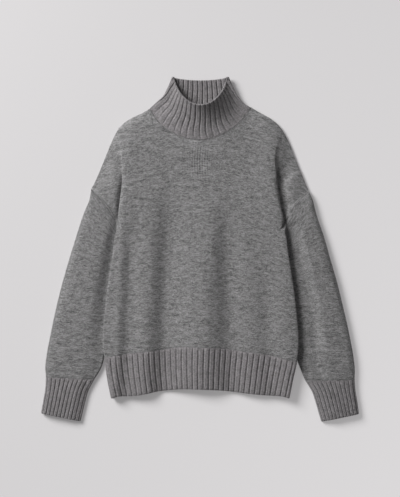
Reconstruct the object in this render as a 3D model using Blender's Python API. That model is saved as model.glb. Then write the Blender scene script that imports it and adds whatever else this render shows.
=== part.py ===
"""Turtleneck sweater in heavy wool, laid flat with its front up.

The frame: +X to the wearer's left, +Y towards the neck, +Z up, origin under the
middle of the garment on the surface it lies on. Every piece that is cut and sewn
is an object of its own: front, back, two sleeves, collar, two hem bands and two cuffs.
Plan tables are in millimetres, and MM turns them into metres.
"""

from collections import namedtuple

import bpy
import numpy as np

MM = 0.001
TINY = 1e-9
COLLECTION = "turtleneck_sweater"

# Cloth
SEAM_GAP = 0.3
SEAM_OPENING = 0.5  # between two edges whose columns don't match
JERSEY = 3.0
RIB_WALL = 3.0
RIB_HEIGHT = 1.3
SAMPLES_PER_RIB = 4
RIB_PROFILE = (-0.9, 0.7, 1.0, 0.7)  # from one valley to the next, in half rib heights

# Body
LOFT = 17.0  # height of the front's outer side where no fold crosses it
FLOOR = JERSEY + SEAM_GAP  # lowest that the front's inner side lies, on the back
RIM = FLOOR + 0.8  # outer edge of the front, where it turns down to the back
SHOULDER_ROLL = 60.0
SHOULDER_BOW = 4.5  # how far the shoulder line bows out between its corner and the neck
CORNER_BOW = 1.2  # the same between the corner and the sewn edge
SIDE_FLAP = 0.18  # share of the body's columns on each side, from crest to sewn edge
HEM_FOOT = -0.17  # rows run from the hem's foot through 0 at its top to 1 at the neck
UNDERARM = 0.58
SHOULDER_TIP = 0.73
NECK_START = 0.19  # share of the top edge that each shoulder takes, before the neckline
NECK_RIGHT = (-117.0, 313.7)
NECK_LEFT = (117.0, 318.2)
FRONT_NECK_DROP = 71.0
BACK_NECK_DROP = 22.5
NECK_ROUND = 0.78
FRONT_HEM_RIBS = 37
FLAP_STOPS = (0.0, 0.05, 0.14, 0.28, 0.48, 0.66, 0.78, 0.88)  # from the sewn edge to the crest
FLAT_STOPS = (0.0, 0.5)  # the same for the back, which has no roll
CREASE_AT = 0.72  # share of the flap where the underarm's crease lies
CREASE_WIDTH = 0.17
SIDE_ROLL = 0.55  # share of the flap in which a closed side rolls down
FRONT_COLUMNS = 24
BACK_COLUMNS = 20
ROWS_TO_TIP = ((0.51, 5), (UNDERARM, 3), (SHOULDER_TIP, 9))  # each stop with its number of steps

# Sleeves and cuffs
FOLD_RADIUS = 4.5  # of the cloth where a flattened tube turns over
FOLD_TURN = 0.46  # a tube's turn runs over its upper side up to here, round a fold to a half
FLATNESS = 6  # how level the upper side of a flattened tube is
OUTER_FULLNESS = 0.5  # share of its height that a tube has at its outer fold
TUCK = 0.26  # share of a sleeve's width that lies low beside the body
ARMHOLE_CLEAR = 0.6
ARMHOLE_FADE = 0.22  # share of the sleeve over which its sections lose the armhole's curve
CUFF_RIBS = 10
CUFF_SEAM = 0.006  # share of the cuff's length left open at its seam

# Collar
COLLAR_RIBS = 34
COLLAR_RIM_HEIGHT = 55.0
COLLAR_SEAM = 0.012  # share of the collar's height left open at its seam
COLLAR_RISE = 1.65  # how late the front of the collar turns up
COLLAR_RIM_ROUND = 0.75  # fullness of the rim's arch
TURN_SHARPNESS = 12  # how close to its folds the front of the collar drops to them
CORNER_LEVEL = 0.3  # how far the rim's corners point up rather than aside
BACK_SHARPNESS = 4  # the same for its back
RING_SAMPLES = 400  # points worked out on each half of a ring, before it is spaced evenly
FOLD_SAMPLES = 24

SideRow = namedtuple("SideRow", "row crest_x crest_y edge_x edge_y open_flap crease")
RIGHT_SIDE = (
    SideRow(HEM_FOOT, -184.0, -330.5, -199.0, -335.0, 0.0, 0.0),
    SideRow(HEM_FOOT / 2, -193.0, -287.5, -208.0, -289.5, 0.0, 0.0),
    SideRow(0.0, -199.0, -240.0, -214.0, -242.0, 0.0, 0.0),
    SideRow(0.25, -192.5, -111.5, -207.5, -111.5, 0.0, 0.0),
    SideRow(0.51, -175.5, 21.0, -189.5, 21.0, 0.0, 0.0),
    SideRow(0.58, -175.0, 57.0, -187.0, 57.0, 0.2, 3.0),
    SideRow(0.62, -175.0, 77.0, -199.0, 83.0, 0.7, 7.0),
    SideRow(0.67, -172.5, 102.0, -218.0, 110.0, 1.0, 9.5),
    SideRow(0.73, -169.0, 133.5, -243.5, 138.0, 1.0, 9.0),
    SideRow(0.755, -168.0, 145.5, -239.2, 147.0, 1.0, 8.5),
    SideRow(0.80, -167.5, 168.0, -231.8, 163.0, 1.0, 7.0),
    SideRow(0.88, -171.5, 209.0, -218.5, 194.5, 1.0, 3.0),
    SideRow(1.0, -183.0, 273.0, -203.0, 232.5, 1.0, 1.0),
)
LEFT_SIDE = (
    SideRow(HEM_FOOT, 185.0, -330.0, 200.0, -334.5, 0.0, 0.0),
    SideRow(HEM_FOOT / 2, 193.5, -289.5, 208.5, -291.5, 0.0, 0.0),
    SideRow(0.0, 202.0, -248.5, 217.0, -251.0, 0.0, 0.0),
    SideRow(0.08, 203.0, -209.0, 218.0, -209.0, 0.0, 0.0),
    SideRow(0.25, 195.0, -111.5, 210.0, -111.5, 0.0, 0.0),
    SideRow(0.51, 177.0, 21.0, 191.5, 21.0, 0.0, 0.0),
    SideRow(0.58, 177.0, 51.0, 190.5, 51.0, 0.2, 4.0),
    SideRow(0.62, 176.0, 77.0, 202.0, 82.5, 0.7, 8.0),
    SideRow(0.67, 172.5, 102.0, 220.5, 109.0, 1.0, 10.5),
    SideRow(0.73, 168.0, 133.5, 243.5, 132.5, 1.0, 10.0),
    SideRow(0.755, 166.5, 145.5, 238.5, 146.0, 1.0, 9.7),
    SideRow(0.80, 164.5, 168.0, 231.0, 165.0, 1.0, 8.5),
    SideRow(0.88, 164.0, 209.0, 218.0, 196.5, 1.0, 3.5),
    SideRow(1.0, 182.5, 273.0, 204.0, 232.5, 1.0, 1.0),
)

HemPoint = namedtuple("HemPoint", "across line_y foot_y")
HEM = (
    HemPoint(0.0, -240.0, -330.5),
    HemPoint(0.1, -233.5, -329.0),
    HemPoint(0.25, -226.5, -319.5),
    HemPoint(0.4, -218.5, -314.0),
    HemPoint(0.5, -219.5, -314.5),
    HemPoint(0.62, -222.0, -317.0),
    HemPoint(0.76, -230.0, -323.0),
    HemPoint(0.9, -238.0, -328.0),
    HemPoint(1.0, -248.5, -330.0),
)

# Soft folds of the front and the sleeves, each along a line from its foot to its head. Right and
# left are how far it spreads on its two sides.
Fold = namedtuple("Fold", "foot_x foot_y head_x head_y right left height")
FOLDS = (
    Fold(-84.0, -330.0, -68.0, 90.0, 23.0, 36.0, -11.0),
    Fold(72.0, -330.0, 62.0, 60.0, 25.0, 30.0, -8.5),
    Fold(4.0, -330.0, 24.0, 60.0, 36.0, 26.0, 6.0),
    Fold(-122.0, -330.0, -110.0, 80.0, 22.0, 16.0, 2.5),
    Fold(-170.0, -330.0, -152.0, 60.0, 14.0, 20.0, -4.5),
    Fold(160.0, -330.0, 150.0, -60.0, 22.0, 26.0, -4.5),
    Fold(206.0, -330.0, 184.0, 70.0, 34.0, 28.0, 6.0),
    Fold(-190.0, -330.0, -174.0, 70.0, 12.0, 16.0, 3.0),
    Fold(-228.0, -150.0, -208.0, 20.0, 12.0, 12.0, -3.0),
    Fold(264.0, -250.0, 252.0, -80.0, 14.0, 14.0, -3.0),
    Fold(0.0, 240.0, 0.0, 205.0, 70.0, 70.0, 4.0),
    Fold(-160.0, 200.0, -158.0, 50.0, 30.0, 20.0, 3.5),
    Fold(162.0, 200.0, 160.0, 50.0, 20.0, 30.0, 3.5),
)

# A sleeve section by section. Its inner fold lies beside the body's edge, and then parts from it.
SleeveRow = namedtuple("SleeveRow", "along outer_x outer_y beside apart_x apart_y height")
RIGHT_SLEEVE = (
    SleeveRow(0.0, -244.0, 137.2, 0.58, -0.7, 0.0, 13.0),
    SleeveRow(0.06, -249.0, 111.0, 0.55, -0.9, 0.0, 15.0),
    SleeveRow(0.13, -260.5, 84.0, 0.53, -1.0, 0.0, 17.0),
    SleeveRow(0.25, -278.5, 30.0, 0.485, -1.0, 0.0, 19.0),
    SleeveRow(0.38, -295.0, -24.0, 0.405, -0.8, 0.0, 20.0),
    SleeveRow(0.51, -310.5, -78.0, 0.315, -0.8, 0.0, 20.0),
    SleeveRow(0.63, -324.0, -132.0, 0.22, -0.8, 0.0, 19.0),
    SleeveRow(0.76, -335.5, -186.0, 0.115, -0.8, 0.0, 18.0),
    SleeveRow(0.88, -345.0, -236.0, 0.005, -0.9, 0.0, 17.0),
    SleeveRow(0.95, -348.5, -266.0, -0.034, -12.0, -9.0, 15.5),
    SleeveRow(1.0, -347.0, -287.0, -0.06, -27.0, -16.0, 14.0),
)
LEFT_SLEEVE = (
    SleeveRow(0.0, 244.2, 131.5, 0.58, 0.9, 0.0, 13.5),
    SleeveRow(0.06, 253.5, 111.0, 0.545, 1.2, 0.0, 15.5),
    SleeveRow(0.13, 261.0, 82.0, 0.52, 1.3, 0.0, 17.5),
    SleeveRow(0.25, 278.5, 30.0, 0.465, 1.2, 0.0, 19.5),
    SleeveRow(0.38, 294.0, -24.0, 0.39, 1.0, 0.0, 20.5),
    SleeveRow(0.51, 309.5, -78.0, 0.305, 0.8, 0.0, 20.5),
    SleeveRow(0.63, 322.7, -132.0, 0.21, 0.8, 0.0, 20.0),
    SleeveRow(0.76, 335.0, -186.0, 0.115, 0.8, 0.0, 19.0),
    SleeveRow(0.88, 345.5, -242.0, 0.01, 0.9, 0.0, 18.0),
    SleeveRow(0.95, 348.5, -270.0, -0.034, 13.0, -4.0, 16.5),
    SleeveRow(1.0, 348.0, -292.5, -0.06, 25.7, -16.1, 15.5),
)

CuffRow = namedtuple("CuffRow", "along outer_x outer_y inner_x inner_y height")
RIGHT_CUFF = (
    CuffRow(0.0, -347.0, -287.0, -237.5, -292.0, 14.0),
    CuffRow(0.33, -348.5, -313.5, -251.0, -317.5, 14.5),
    CuffRow(0.66, -353.5, -343.5, -258.0, -341.0, 14.5),
    CuffRow(1.0, -358.0, -368.5, -269.0, -387.0, 14.5),
)
LEFT_CUFF = (
    CuffRow(0.0, 348.0, -292.5, 237.5, -296.0, 15.5),
    CuffRow(0.33, 350.0, -318.5, 252.0, -320.0, 15.5),
    CuffRow(0.66, 354.0, -341.5, 259.5, -342.0, 15.0),
    CuffRow(1.0, 358.0, -370.0, 273.0, -388.0, 15.0),
)

# The collar ring by ring: its two folds, its middles front and back, and how high each lies.
CollarRing = namedtuple("CollarRing", "up right_x right_y left_x left_y front_y back_y fold_z back_z")
COLLAR = (
    CollarRing(0.0, -117.0, 313.7, 117.0, 318.2, 245.2, 293.4, 4.6, 0.0),
    CollarRing(0.25, -99.5, 329.5, 98.0, 329.5, 267.5, 315.0, 6.0, 0.0),
    CollarRing(0.5, -82.5, 345.0, 84.0, 346.0, 289.0, 336.0, 8.0, 1.0),
    CollarRing(0.75, -71.5, 366.5, 74.5, 365.5, 306.0, 358.5, 10.0, 3.0),
    CollarRing(1.0, -62.0, 387.5, 63.5, 387.5, 320.5, 380.5, 12.0, 6.0),
)

Cloth = namedtuple("Cloth", "name color roughness")
JERSEY_CLOTH = Cloth("grey_jersey", (0.215, 0.213, 0.21, 1.0), 0.95)
RIB_CLOTH = Cloth("grey_rib", (0.25, 0.235, 0.24, 1.0), 0.95)


# ---------------------------------------------------------------- curves and walls


def through(table, at, *columns):
    """Points of the smooth curve that passes through the named columns of a table."""
    knots = np.array([row[0] for row in table], float)
    at = np.clip(at, knots[0], knots[-1])
    i = np.clip(np.searchsorted(knots, at, side="right") - 1, 0, len(knots) - 2)
    span = knots[i + 1] - knots[i]
    t = (at - knots[i]) / span
    found = []
    for column in columns:
        values = np.array([getattr(row, column) for row in table], float)
        slopes = np.gradient(values, knots)
        start = (1 + 2 * t) * (1 - t) ** 2 * values[i] + t * (1 - t) ** 2 * span * slopes[i]
        end = t**2 * (3 - 2 * t) * values[i + 1] + t**2 * (t - 1) * span * slopes[i + 1]
        found.append(start + end)
    return found if len(found) > 1 else found[0]


def mix(a, b, share):
    return a + (b - a) * share


def quarter_round(share):
    """Rises from 0 to 1 like a quarter circle that starts upright."""
    return np.sqrt(1 - (1 - np.clip(share, 0, 1)) ** 2)


def surface_normals(surface, u, v, u_range, v_range):
    """Unit normals of a surface, from points a little to each side."""
    step = 1e-3

    def difference(du, dv):
        ahead = surface(np.clip(u + du, *u_range), np.clip(v + dv, *v_range))
        behind = surface(np.clip(u - du, *u_range), np.clip(v - dv, *v_range))
        return ahead - behind

    normals = np.cross(difference(step, 0), difference(0, step))
    return normals / np.linalg.norm(normals, axis=-1, keepdims=True)


def wall(name, outer, inner, cloth, tube=False):
    """One closed wall between an outer and an inner grid of points, open at the ends if a tube."""
    rows, columns = outer.shape[:2]
    points = np.concatenate([outer.reshape(-1, 3), inner.reshape(-1, 3)]) * MM
    inside = rows * columns
    faces = []
    for i in range(rows - 1):
        for j in range(columns if tube else columns - 1):
            k = (j + 1) % columns
            quad = (i * columns + j, i * columns + k, (i + 1) * columns + k, (i + 1) * columns + j)
            faces.append(quad)
            faces.append(tuple(inside + p for p in reversed(quad)))
    loop = [(0, j) for j in range(columns)]
    far = [(rows - 1, j) for j in range(columns)]
    if tube:
        rims = [loop + loop[:1], (far + far[:1])[::-1]]
    else:
        right = [(i, columns - 1) for i in range(rows)]
        left = [(i, 0) for i in range(rows)]
        rims = [loop + right[1:] + far[::-1][1:] + left[::-1][1:]]
    for rim in rims:
        for (i, j), (m, n) in zip(rim, rim[1:]):
            a, b = i * columns + j, m * columns + n
            faces.append((b, a, inside + a, inside + b))
    mesh = bpy.data.meshes.new(name)
    mesh.from_pydata(points.tolist(), [], faces)
    mesh.materials.append(material_of(cloth))
    mesh.shade_smooth()
    mesh.set_sharp_from_angle(angle=np.radians(50))
    piece = bpy.data.objects.new(name, mesh)
    bpy.data.collections[COLLECTION].objects.link(piece)
    return piece


def material_of(cloth):
    material = bpy.data.materials.get(cloth.name)
    if material is None:
        material = bpy.data.materials.new(cloth.name)
        material.use_nodes = True
        shader = material.node_tree.nodes["Principled BSDF"]
        shader.inputs["Base Color"].default_value = cloth.color
        shader.inputs["Roughness"].default_value = cloth.roughness
        shader.inputs["Metallic"].default_value = 0.0
    return material


def rib_heights(samples):
    """How far ribs raise the outer side, in millimetres, one value for each column."""
    return np.resize(RIB_PROFILE, samples) * RIB_HEIGHT / 2


# ---------------------------------------------------------------- body


def side_edge(side, row):
    """The sewn edge of the front and back on one side, in plan."""
    return np.stack(through(side, row, "edge_x", "edge_y"), -1)


def neckline(across, drop):
    """The neck edge of a body panel from the wearer's right to left, in plan."""
    turn = -np.cos(np.pi * across)
    x = mix(NECK_RIGHT[0], NECK_LEFT[0], (turn + 1) / 2)
    y = mix(NECK_RIGHT[1], NECK_LEFT[1], (turn + 1) / 2)
    return np.stack([x, y - drop * (1 - turn**2) ** NECK_ROUND], -1)


def top_edge(across, drop):
    """Right shoulder, neckline and left shoulder, in plan."""
    right = np.stack(through(RIGHT_SIDE, 1.0, "crest_x", "crest_y"))
    left = np.stack(through(LEFT_SIDE, 1.0, "crest_x", "crest_y"))
    first = np.clip(across / NECK_START, 0, 1)[..., None]
    last = np.clip((across - 1 + NECK_START) / NECK_START, 0, 1)[..., None]
    middle = neckline(np.clip((across - NECK_START) / (1 - 2 * NECK_START), 0, 1), drop)
    right_bow = bow(right - NECK_RIGHT, (1 - first) ** 1.5, SHOULDER_BOW)
    left_bow = bow(left - NECK_LEFT, last**1.5, -SHOULDER_BOW)
    return middle + (right - NECK_RIGHT) * (1 - first) + right_bow + (left - NECK_LEFT) * last + left_bow


def bow(run, share, height):
    """Offset that bows a straight run out to its side, from 0 at each end."""
    beside = np.stack([run[..., 1], -run[..., 0]], -1)
    return beside / np.linalg.norm(run, axis=-1, keepdims=True) * height * np.sin(np.pi * share)


def body_plan(u, row, drop):
    """Plan of a body panel: u runs across from edge to edge, row from hem foot to neck."""
    right = np.stack(through(RIGHT_SIDE, row, "crest_x", "crest_y"), -1)
    left = np.stack(through(LEFT_SIDE, row, "crest_x", "crest_y"), -1)
    across = np.clip((u - SIDE_FLAP) / (1 - 2 * SIDE_FLAP), 0, 1)
    share = across[..., None]
    plan = mix(right, left, share)

    line_y, foot_y = through(HEM, across, "line_y", "foot_y")
    line_bend = line_y - mix(HEM[0].line_y, HEM[-1].line_y, across)
    foot_bend = foot_y - mix(HEM[0].foot_y, HEM[-1].foot_y, across)
    bend = mix(line_bend, foot_bend, np.clip(row / HEM_FOOT, 0, 1))
    plan[..., 1] += bend * (1 - np.clip(row, 0, 1)) ** 2

    corners = mix(top_edge(np.zeros(1), drop)[0], top_edge(np.ones(1), drop)[0], share)
    plan += (top_edge(across, drop) - corners) * (np.clip(row, 0, 1) ** 3)[..., None]

    for side, inward in ((RIGHT_SIDE, u / SIDE_FLAP), (LEFT_SIDE, (1 - u) / SIDE_FLAP)):
        crest = np.stack(through(side, row, "crest_x", "crest_y"), -1)
        in_flap = np.clip(inward, 0, 1)[..., None]
        to_edge = side_edge(side, row) - crest
        turned = -CORNER_BOW if side is LEFT_SIDE else CORNER_BOW
        rounded = bow(to_edge, 1 - in_flap, turned) * (np.clip(row, 0, 1) ** 8)[..., None]
        plan += to_edge * (1 - in_flap) + rounded
    return plan


def fold_height(x, y):
    """What the soft folds add to the height of the cloth at a place."""
    total = np.zeros(np.shape(x))
    for fold in FOLDS:
        run = np.array([fold.head_x - fold.foot_x, fold.head_y - fold.foot_y])
        length = np.hypot(*run)
        along = ((x - fold.foot_x) * run[0] + (y - fold.foot_y) * run[1]) / length**2
        off = ((x - fold.foot_x) * run[1] - (y - fold.foot_y) * run[0]) / length
        spread = np.where(off < 0, fold.right, fold.left)
        past = np.clip(along - 0.75, 0, None) / 0.3
        total += fold.height * np.exp(-((off / spread) ** 2) - past**2)
    return total


def shoulder_outline(side):
    """Edge of one shoulder in plan, from the armhole's tip past the corner to the neck."""
    along = np.linspace(0, 1, 24)
    edge = side_edge(side, mix(SHOULDER_TIP, 1.0, along))
    u = along * (SIDE_FLAP + (1 - 2 * SIDE_FLAP) * NECK_START)
    top = body_plan(u if side is RIGHT_SIDE else 1 - u, np.ones(along.size), FRONT_NECK_DROP)
    return np.concatenate([edge, top])


def shoulder_share(plan):
    """0 on a shoulder's edge, rising to 1 where the front is clear of its roll."""
    nearest = np.full(plan.shape[:-1], np.inf)
    for side in (RIGHT_SIDE, LEFT_SIDE):
        outline = shoulder_outline(side)
        for start, run in zip(outline, np.diff(outline, axis=0)):
            along = np.clip((plan - start) @ run / max(run @ run, TINY), 0, 1)
            off = plan - start - along[..., None] * run
            nearest = np.minimum(nearest, np.linalg.norm(off, axis=-1))
    return quarter_round(nearest / SHOULDER_ROLL)


def front_surface(u, row):
    """Outer side of the front and of its hem band."""
    plan = body_plan(u, row, FRONT_NECK_DROP)
    height = LOFT + fold_height(plan[..., 0], plan[..., 1])
    for side, inward in ((RIGHT_SIDE, u / SIDE_FLAP), (LEFT_SIDE, (1 - u) / SIDE_FLAP)):
        in_flap = np.clip(inward, 0, 1)
        open_flap, crease = through(side, row, "open_flap", "crease")
        rolled = RIM + (height - RIM) * quarter_round(in_flap / SIDE_ROLL)
        armhole = np.clip((SHOULDER_TIP - row) / (SHOULDER_TIP - UNDERARM), 0, 1)
        edge_height = section_height(armhole, side_sleeve(side)[0].height)
        laid = mix(edge_height, height, np.clip(in_flap / 0.6, 0, 1) ** 1.5)
        laid = laid - crease * np.exp(-(((in_flap - CREASE_AT) / CREASE_WIDTH) ** 2))
        height = mix(rolled, laid, np.clip(open_flap, 0, 1) * (in_flap < 1))
    height = RIM + (height - RIM) * shoulder_share(plan)
    return np.concatenate([plan, height[..., None]], -1)


def side_sleeve(side):
    return RIGHT_SLEEVE if side is RIGHT_SIDE else LEFT_SLEEVE


def spaced(start, *stops):
    """Values from start on, each stop given with the number of steps up to it."""
    values = [start]
    for stop, steps in stops:
        values.extend(np.linspace(values[-1], stop, steps + 1)[1:])
    return np.array(values)


def body_columns(flap_stops, middle):
    """Columns of a body panel: stops across each side's flap, and even ones between."""
    edge = np.array(flap_stops) * SIDE_FLAP
    centre = np.linspace(SIDE_FLAP, 1 - SIDE_FLAP, middle + 1)
    return np.concatenate([edge, centre, 1 - edge[::-1]])


def rows_of(start, stop, steps):
    return np.linspace(start, stop, steps + 1)


def front_wall(name, rows, columns, raised, cloth):
    """A wall of the front: its inner side is plain, and rests on the back along its edges."""
    row, u = np.meshgrid(rows, columns, indexing="ij")
    base = front_surface(u, row)
    normals = surface_normals(front_surface, u, row, (0, 1), (HEM_FOOT, 1))
    outer = base + normals * raised[None, :, None]
    inner = base - normals * JERSEY
    inner[..., 2] = np.where(inner[..., 2] < RIM + SEAM_GAP, FLOOR, inner[..., 2])
    return wall(name, outer, inner, cloth)


def make_front():
    rows = spaced(0.0, *ROWS_TO_TIP, (0.94, 4), (1.0, 3))
    columns = body_columns(FLAP_STOPS, FRONT_COLUMNS)
    return front_wall("front", rows, columns, np.zeros(columns.size), JERSEY_CLOTH)


def seam_row():
    """The row of the hem's top, a seam opening below the front's lowest row."""
    step = 1e-4
    rate = (side_edge(RIGHT_SIDE, 0.0) - side_edge(RIGHT_SIDE, -step)) / step
    return -SEAM_OPENING / np.linalg.norm(rate)


def make_front_hem():
    ribs = np.arange(FRONT_HEM_RIBS * SAMPLES_PER_RIB + 1) / (FRONT_HEM_RIBS * SAMPLES_PER_RIB)
    rows = rows_of(HEM_FOOT, seam_row(), 2)
    return front_wall("hem_front", rows, rib_columns(ribs), rib_heights(ribs.size), RIB_CLOTH)


def rib_columns(ribs):
    """Columns spaced evenly along the hem itself, folds down its sides included."""
    u = np.linspace(0, 1, 801)
    path = front_surface(u, np.full(u.shape, HEM_FOOT / 2))
    length = np.concatenate([[0], np.cumsum(np.linalg.norm(np.diff(path, axis=0), axis=-1))])
    return np.interp(ribs * length[-1], length, u)


def back_wall(name, rows, thickness, cloth):
    """A wall of the back, flat on the surface that the sweater lies on."""
    row, u = np.meshgrid(rows, body_columns(FLAT_STOPS, BACK_COLUMNS), indexing="ij")
    plan = body_plan(u, row, BACK_NECK_DROP)
    top = np.concatenate([plan, np.full(plan.shape[:-1] + (1,), thickness)], -1)
    bottom = np.concatenate([plan, np.zeros(plan.shape[:-1] + (1,))], -1)
    return wall(name, top, bottom, cloth)


def make_back():
    rows = spaced(0.0, *ROWS_TO_TIP, (1.0, 4))
    return back_wall("back", rows, JERSEY, JERSEY_CLOTH)


def make_back_hem():
    return back_wall("hem_back", rows_of(HEM_FOOT, seam_row(), 2), RIB_WALL, RIB_CLOTH)


# ---------------------------------------------------------------- sleeves and cuffs


def section_height(across, height):
    """Height of a flattened tube's upper side, from its outer fold to its inner fold."""
    across = np.clip(across, 0, 1)
    swell = (1 - np.abs(1 - 2 * across) ** FLATNESS) ** 0.8
    swell = mix(np.where(across < 0.5, OUTER_FULLNESS, 0.0), 1.0, swell)
    clear = np.clip((1 - across) / TUCK, 0, 1)
    return 2 * FOLD_RADIUS + (height - 2 * FOLD_RADIUS) * swell * clear**2 * (3 - 2 * clear)


def tube_section(turn):
    """Where a turn lies on a flattened tube: share across it, and angle round its folds."""
    turn = np.mod(turn, 1.0)
    back = turn - 0.5
    fold = 0.5 - FOLD_TURN
    above, at_inner, below = turn < FOLD_TURN, turn < 0.5, back < FOLD_TURN
    across = np.select([above, at_inner, below], [turn / FOLD_TURN, 1.0, 1 - back / FOLD_TURN], 0.0)
    right_angle = np.pi / 2
    over = right_angle - np.pi * (turn - FOLD_TURN) / fold
    under = -right_angle - np.pi * (back - FOLD_TURN) / fold
    angle = np.select([above, at_inner, below], [right_angle, over, -right_angle], under)
    return across, angle


def sleeve_folds(side, table):
    """A sleeve's outer and inner folds in plan, and its height, at places along it."""

    def folds(along):
        columns = SleeveRow._fields[1:]
        x, y, beside, apart_x, apart_y, height = through(table, along, *columns)
        inner = side_edge(side, beside) + np.stack([apart_x, apart_y], -1)
        return np.stack([x, y], -1), inner, height

    return folds


def cuff_folds(table):
    """A cuff's outer and inner folds in plan, and its height, at places along it."""

    def folds(along):
        columns = CuffRow._fields[1:]
        outer_x, outer_y, inner_x, inner_y, height = through(table, along, *columns)
        return np.stack([outer_x, outer_y], -1), np.stack([inner_x, inner_y], -1), height

    return folds


def tube_surface(folds, armhole=None):
    """The outer side of a sleeve or cuff as a surface: turn round it, place along it."""

    def surface(turn, along):
        across, angle = tube_section(turn)
        outer, inner, height = folds(along)
        chord = inner - outer
        chord /= np.linalg.norm(chord, axis=-1, keepdims=True)
        start, stop = outer + chord * FOLD_RADIUS, inner - chord * FOLD_RADIUS
        plan = mix(start, stop, across[..., None]) + chord * (FOLD_RADIUS * np.cos(angle))[..., None]
        if armhole is not None:
            reach = np.sum((plan - outer) * chord, -1) / np.sum((inner - outer) * chord, -1)
            fade = np.clip(1 - along / ARMHOLE_FADE, 0, 1) ** 2
            plan += armhole(np.clip(reach, 0, 1)) * fade[..., None]
        upper = (np.sin(angle) + 1) / 2
        top = section_height(across, height)
        top += fold_height(plan[..., 0], plan[..., 1]) * np.sin(np.pi * across) ** 2
        return np.concatenate([plan, (top * upper)[..., None]], -1)

    return surface


def armhole_bow(side):
    """How far the sewn edge of an armhole lies off the straight line between its ends."""

    def bow(share):
        row = mix(SHOULDER_TIP, UNDERARM, share)
        ends = side_edge(side, np.array([SHOULDER_TIP, UNDERARM]))
        off = side_edge(side, row) - mix(ends[0], ends[1], share[..., None])
        off[..., 0] += ARMHOLE_CLEAR * np.sign(ends[0][0])
        off[..., 1] -= ARMHOLE_CLEAR
        return off

    return bow


def tube_turns(upper, lower):
    """Places round a tube: even on its upper and lower sides, three on each fold."""
    fold = np.linspace(FOLD_TURN, 0.5, 5)[1:-1]
    upper_side = np.linspace(0, FOLD_TURN, upper + 1)
    lower_side = np.linspace(0.5, 0.5 + FOLD_TURN, lower + 1)
    return np.concatenate([upper_side, fold, lower_side, fold + 0.5])


def tube_wall(name, surface, turns, alongs, thickness, ribs, cloth, flip):
    along, turn = np.meshgrid(alongs, turns, indexing="ij")
    base = surface(turn, along)
    normals = surface_normals(surface, turn, along, (-1, 2), (0, 1)) * flip
    inward = within_section(surface, along, normals)
    outer = base + inward * ribs[None, :, None]
    inner = base - inward * thickness
    return wall(name, outer[:, :: flip], inner[:, :: flip], cloth, tube=True)


def within_section(surface, along, normals):
    """Normals turned into their cross-sections, longer so that a wall keeps its thickness."""
    chord = surface(np.full(along.shape, FOLD_TURN), along) - surface(np.zeros(along.shape), along)
    beside = np.stack([-chord[..., 1], chord[..., 0]], -1)
    beside /= np.linalg.norm(beside, axis=-1, keepdims=True)
    turned = normals.copy()
    turned[..., :2] -= np.sum(normals[..., :2] * beside, -1, keepdims=True) * beside
    return turned / np.sum(turned**2, -1, keepdims=True)


def make_sleeve(name, side, table, flip):
    surface = tube_surface(sleeve_folds(side, table), armhole_bow(side))
    alongs = spaced(0.0, (0.24, 4), (0.88, 6), (1.0, 2))
    turns = tube_turns(12, 6)
    return tube_wall(name, surface, turns, alongs, JERSEY, np.zeros(turns.size), JERSEY_CLOTH, flip)


def make_cuff(name, table, flip):
    upper = CUFF_RIBS * SAMPLES_PER_RIB
    turns = tube_turns(upper, 6)
    ribs = np.zeros(turns.size)
    ribs[: upper + 1] = rib_heights(upper + 1)
    alongs = rows_of(CUFF_SEAM, 1.0, 3)
    surface = tube_surface(cuff_folds(table))
    return tube_wall(name, surface, turns, alongs, RIB_WALL, ribs, RIB_CLOTH, flip)


# ---------------------------------------------------------------- collar


def collar_ring(up):
    """One ring of the collar's outer side as evenly spaced points, from the middle of its back
    round the right fold, the front and the left fold."""
    rx, ry, lx, ly, front_y, back_y, fold_z, back_z = through(COLLAR, up, *CollarRing._fields[1:])
    middle = np.array([(rx + lx) / 2, (front_y + back_y) / 2])
    folds = []
    for tip in (np.array([rx, ry]), np.array([lx, ly])):
        outward = (tip - middle) * [1.0, CORNER_LEVEL]
        outward /= np.linalg.norm(outward)
        folds.append((tip - outward * FOLD_RADIUS, outward))
    (right, right_out), (left, left_out) = folds

    half = np.linspace(0, 1, RING_SAMPLES)
    turn = -np.cos(np.pi * half)
    bulge = (1 - turn**2) ** NECK_ROUND
    line = mix(right, left, ((turn + 1) / 2)[:, None])
    line_y = (right[1] + left[1]) / 2

    front = np.column_stack([line[:, 0], line[:, 1] - (line_y - front_y) * bulge])
    neck_height = neck_heights(half)
    rim_height = mix(fold_z + FOLD_RADIUS, COLLAR_RIM_HEIGHT, (1 - turn**2) ** COLLAR_RIM_ROUND)
    front_z = mix(neck_height, rim_height, up**COLLAR_RISE)
    front_z = mix(front_z, fold_z + FOLD_RADIUS, np.abs(turn) ** TURN_SHARPNESS)
    back = np.column_stack([line[:, 0], line[:, 1] - (line_y - back_y) * bulge])
    back_z = mix(back_z, fold_z - FOLD_RADIUS, np.abs(turn) ** BACK_SHARPNESS)

    angle = np.linspace(-np.pi / 2, np.pi / 2, FOLD_SAMPLES)[1:-1]
    right_fold = np.column_stack([
        right + np.outer(np.cos(angle), right_out) * FOLD_RADIUS, fold_z + np.sin(angle) * FOLD_RADIUS
    ])
    left_fold = np.column_stack([
        left + np.outer(np.cos(angle), left_out) * FOLD_RADIUS, fold_z - np.sin(angle) * FOLD_RADIUS
    ])
    front = np.column_stack([front, front_z])
    back = np.column_stack([back, back_z])[::-1]
    half_back = RING_SAMPLES // 2
    ring = np.concatenate([back[half_back:], right_fold, front, left_fold, back[: half_back + 1]])
    length = np.concatenate([[0], np.cumsum(np.linalg.norm(np.diff(ring, axis=0), axis=1))])
    even = np.linspace(0, length[-1], 2 * RING_SAMPLES)
    return np.column_stack([np.interp(even, length, ring[:, axis]) for axis in range(3)])


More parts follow.
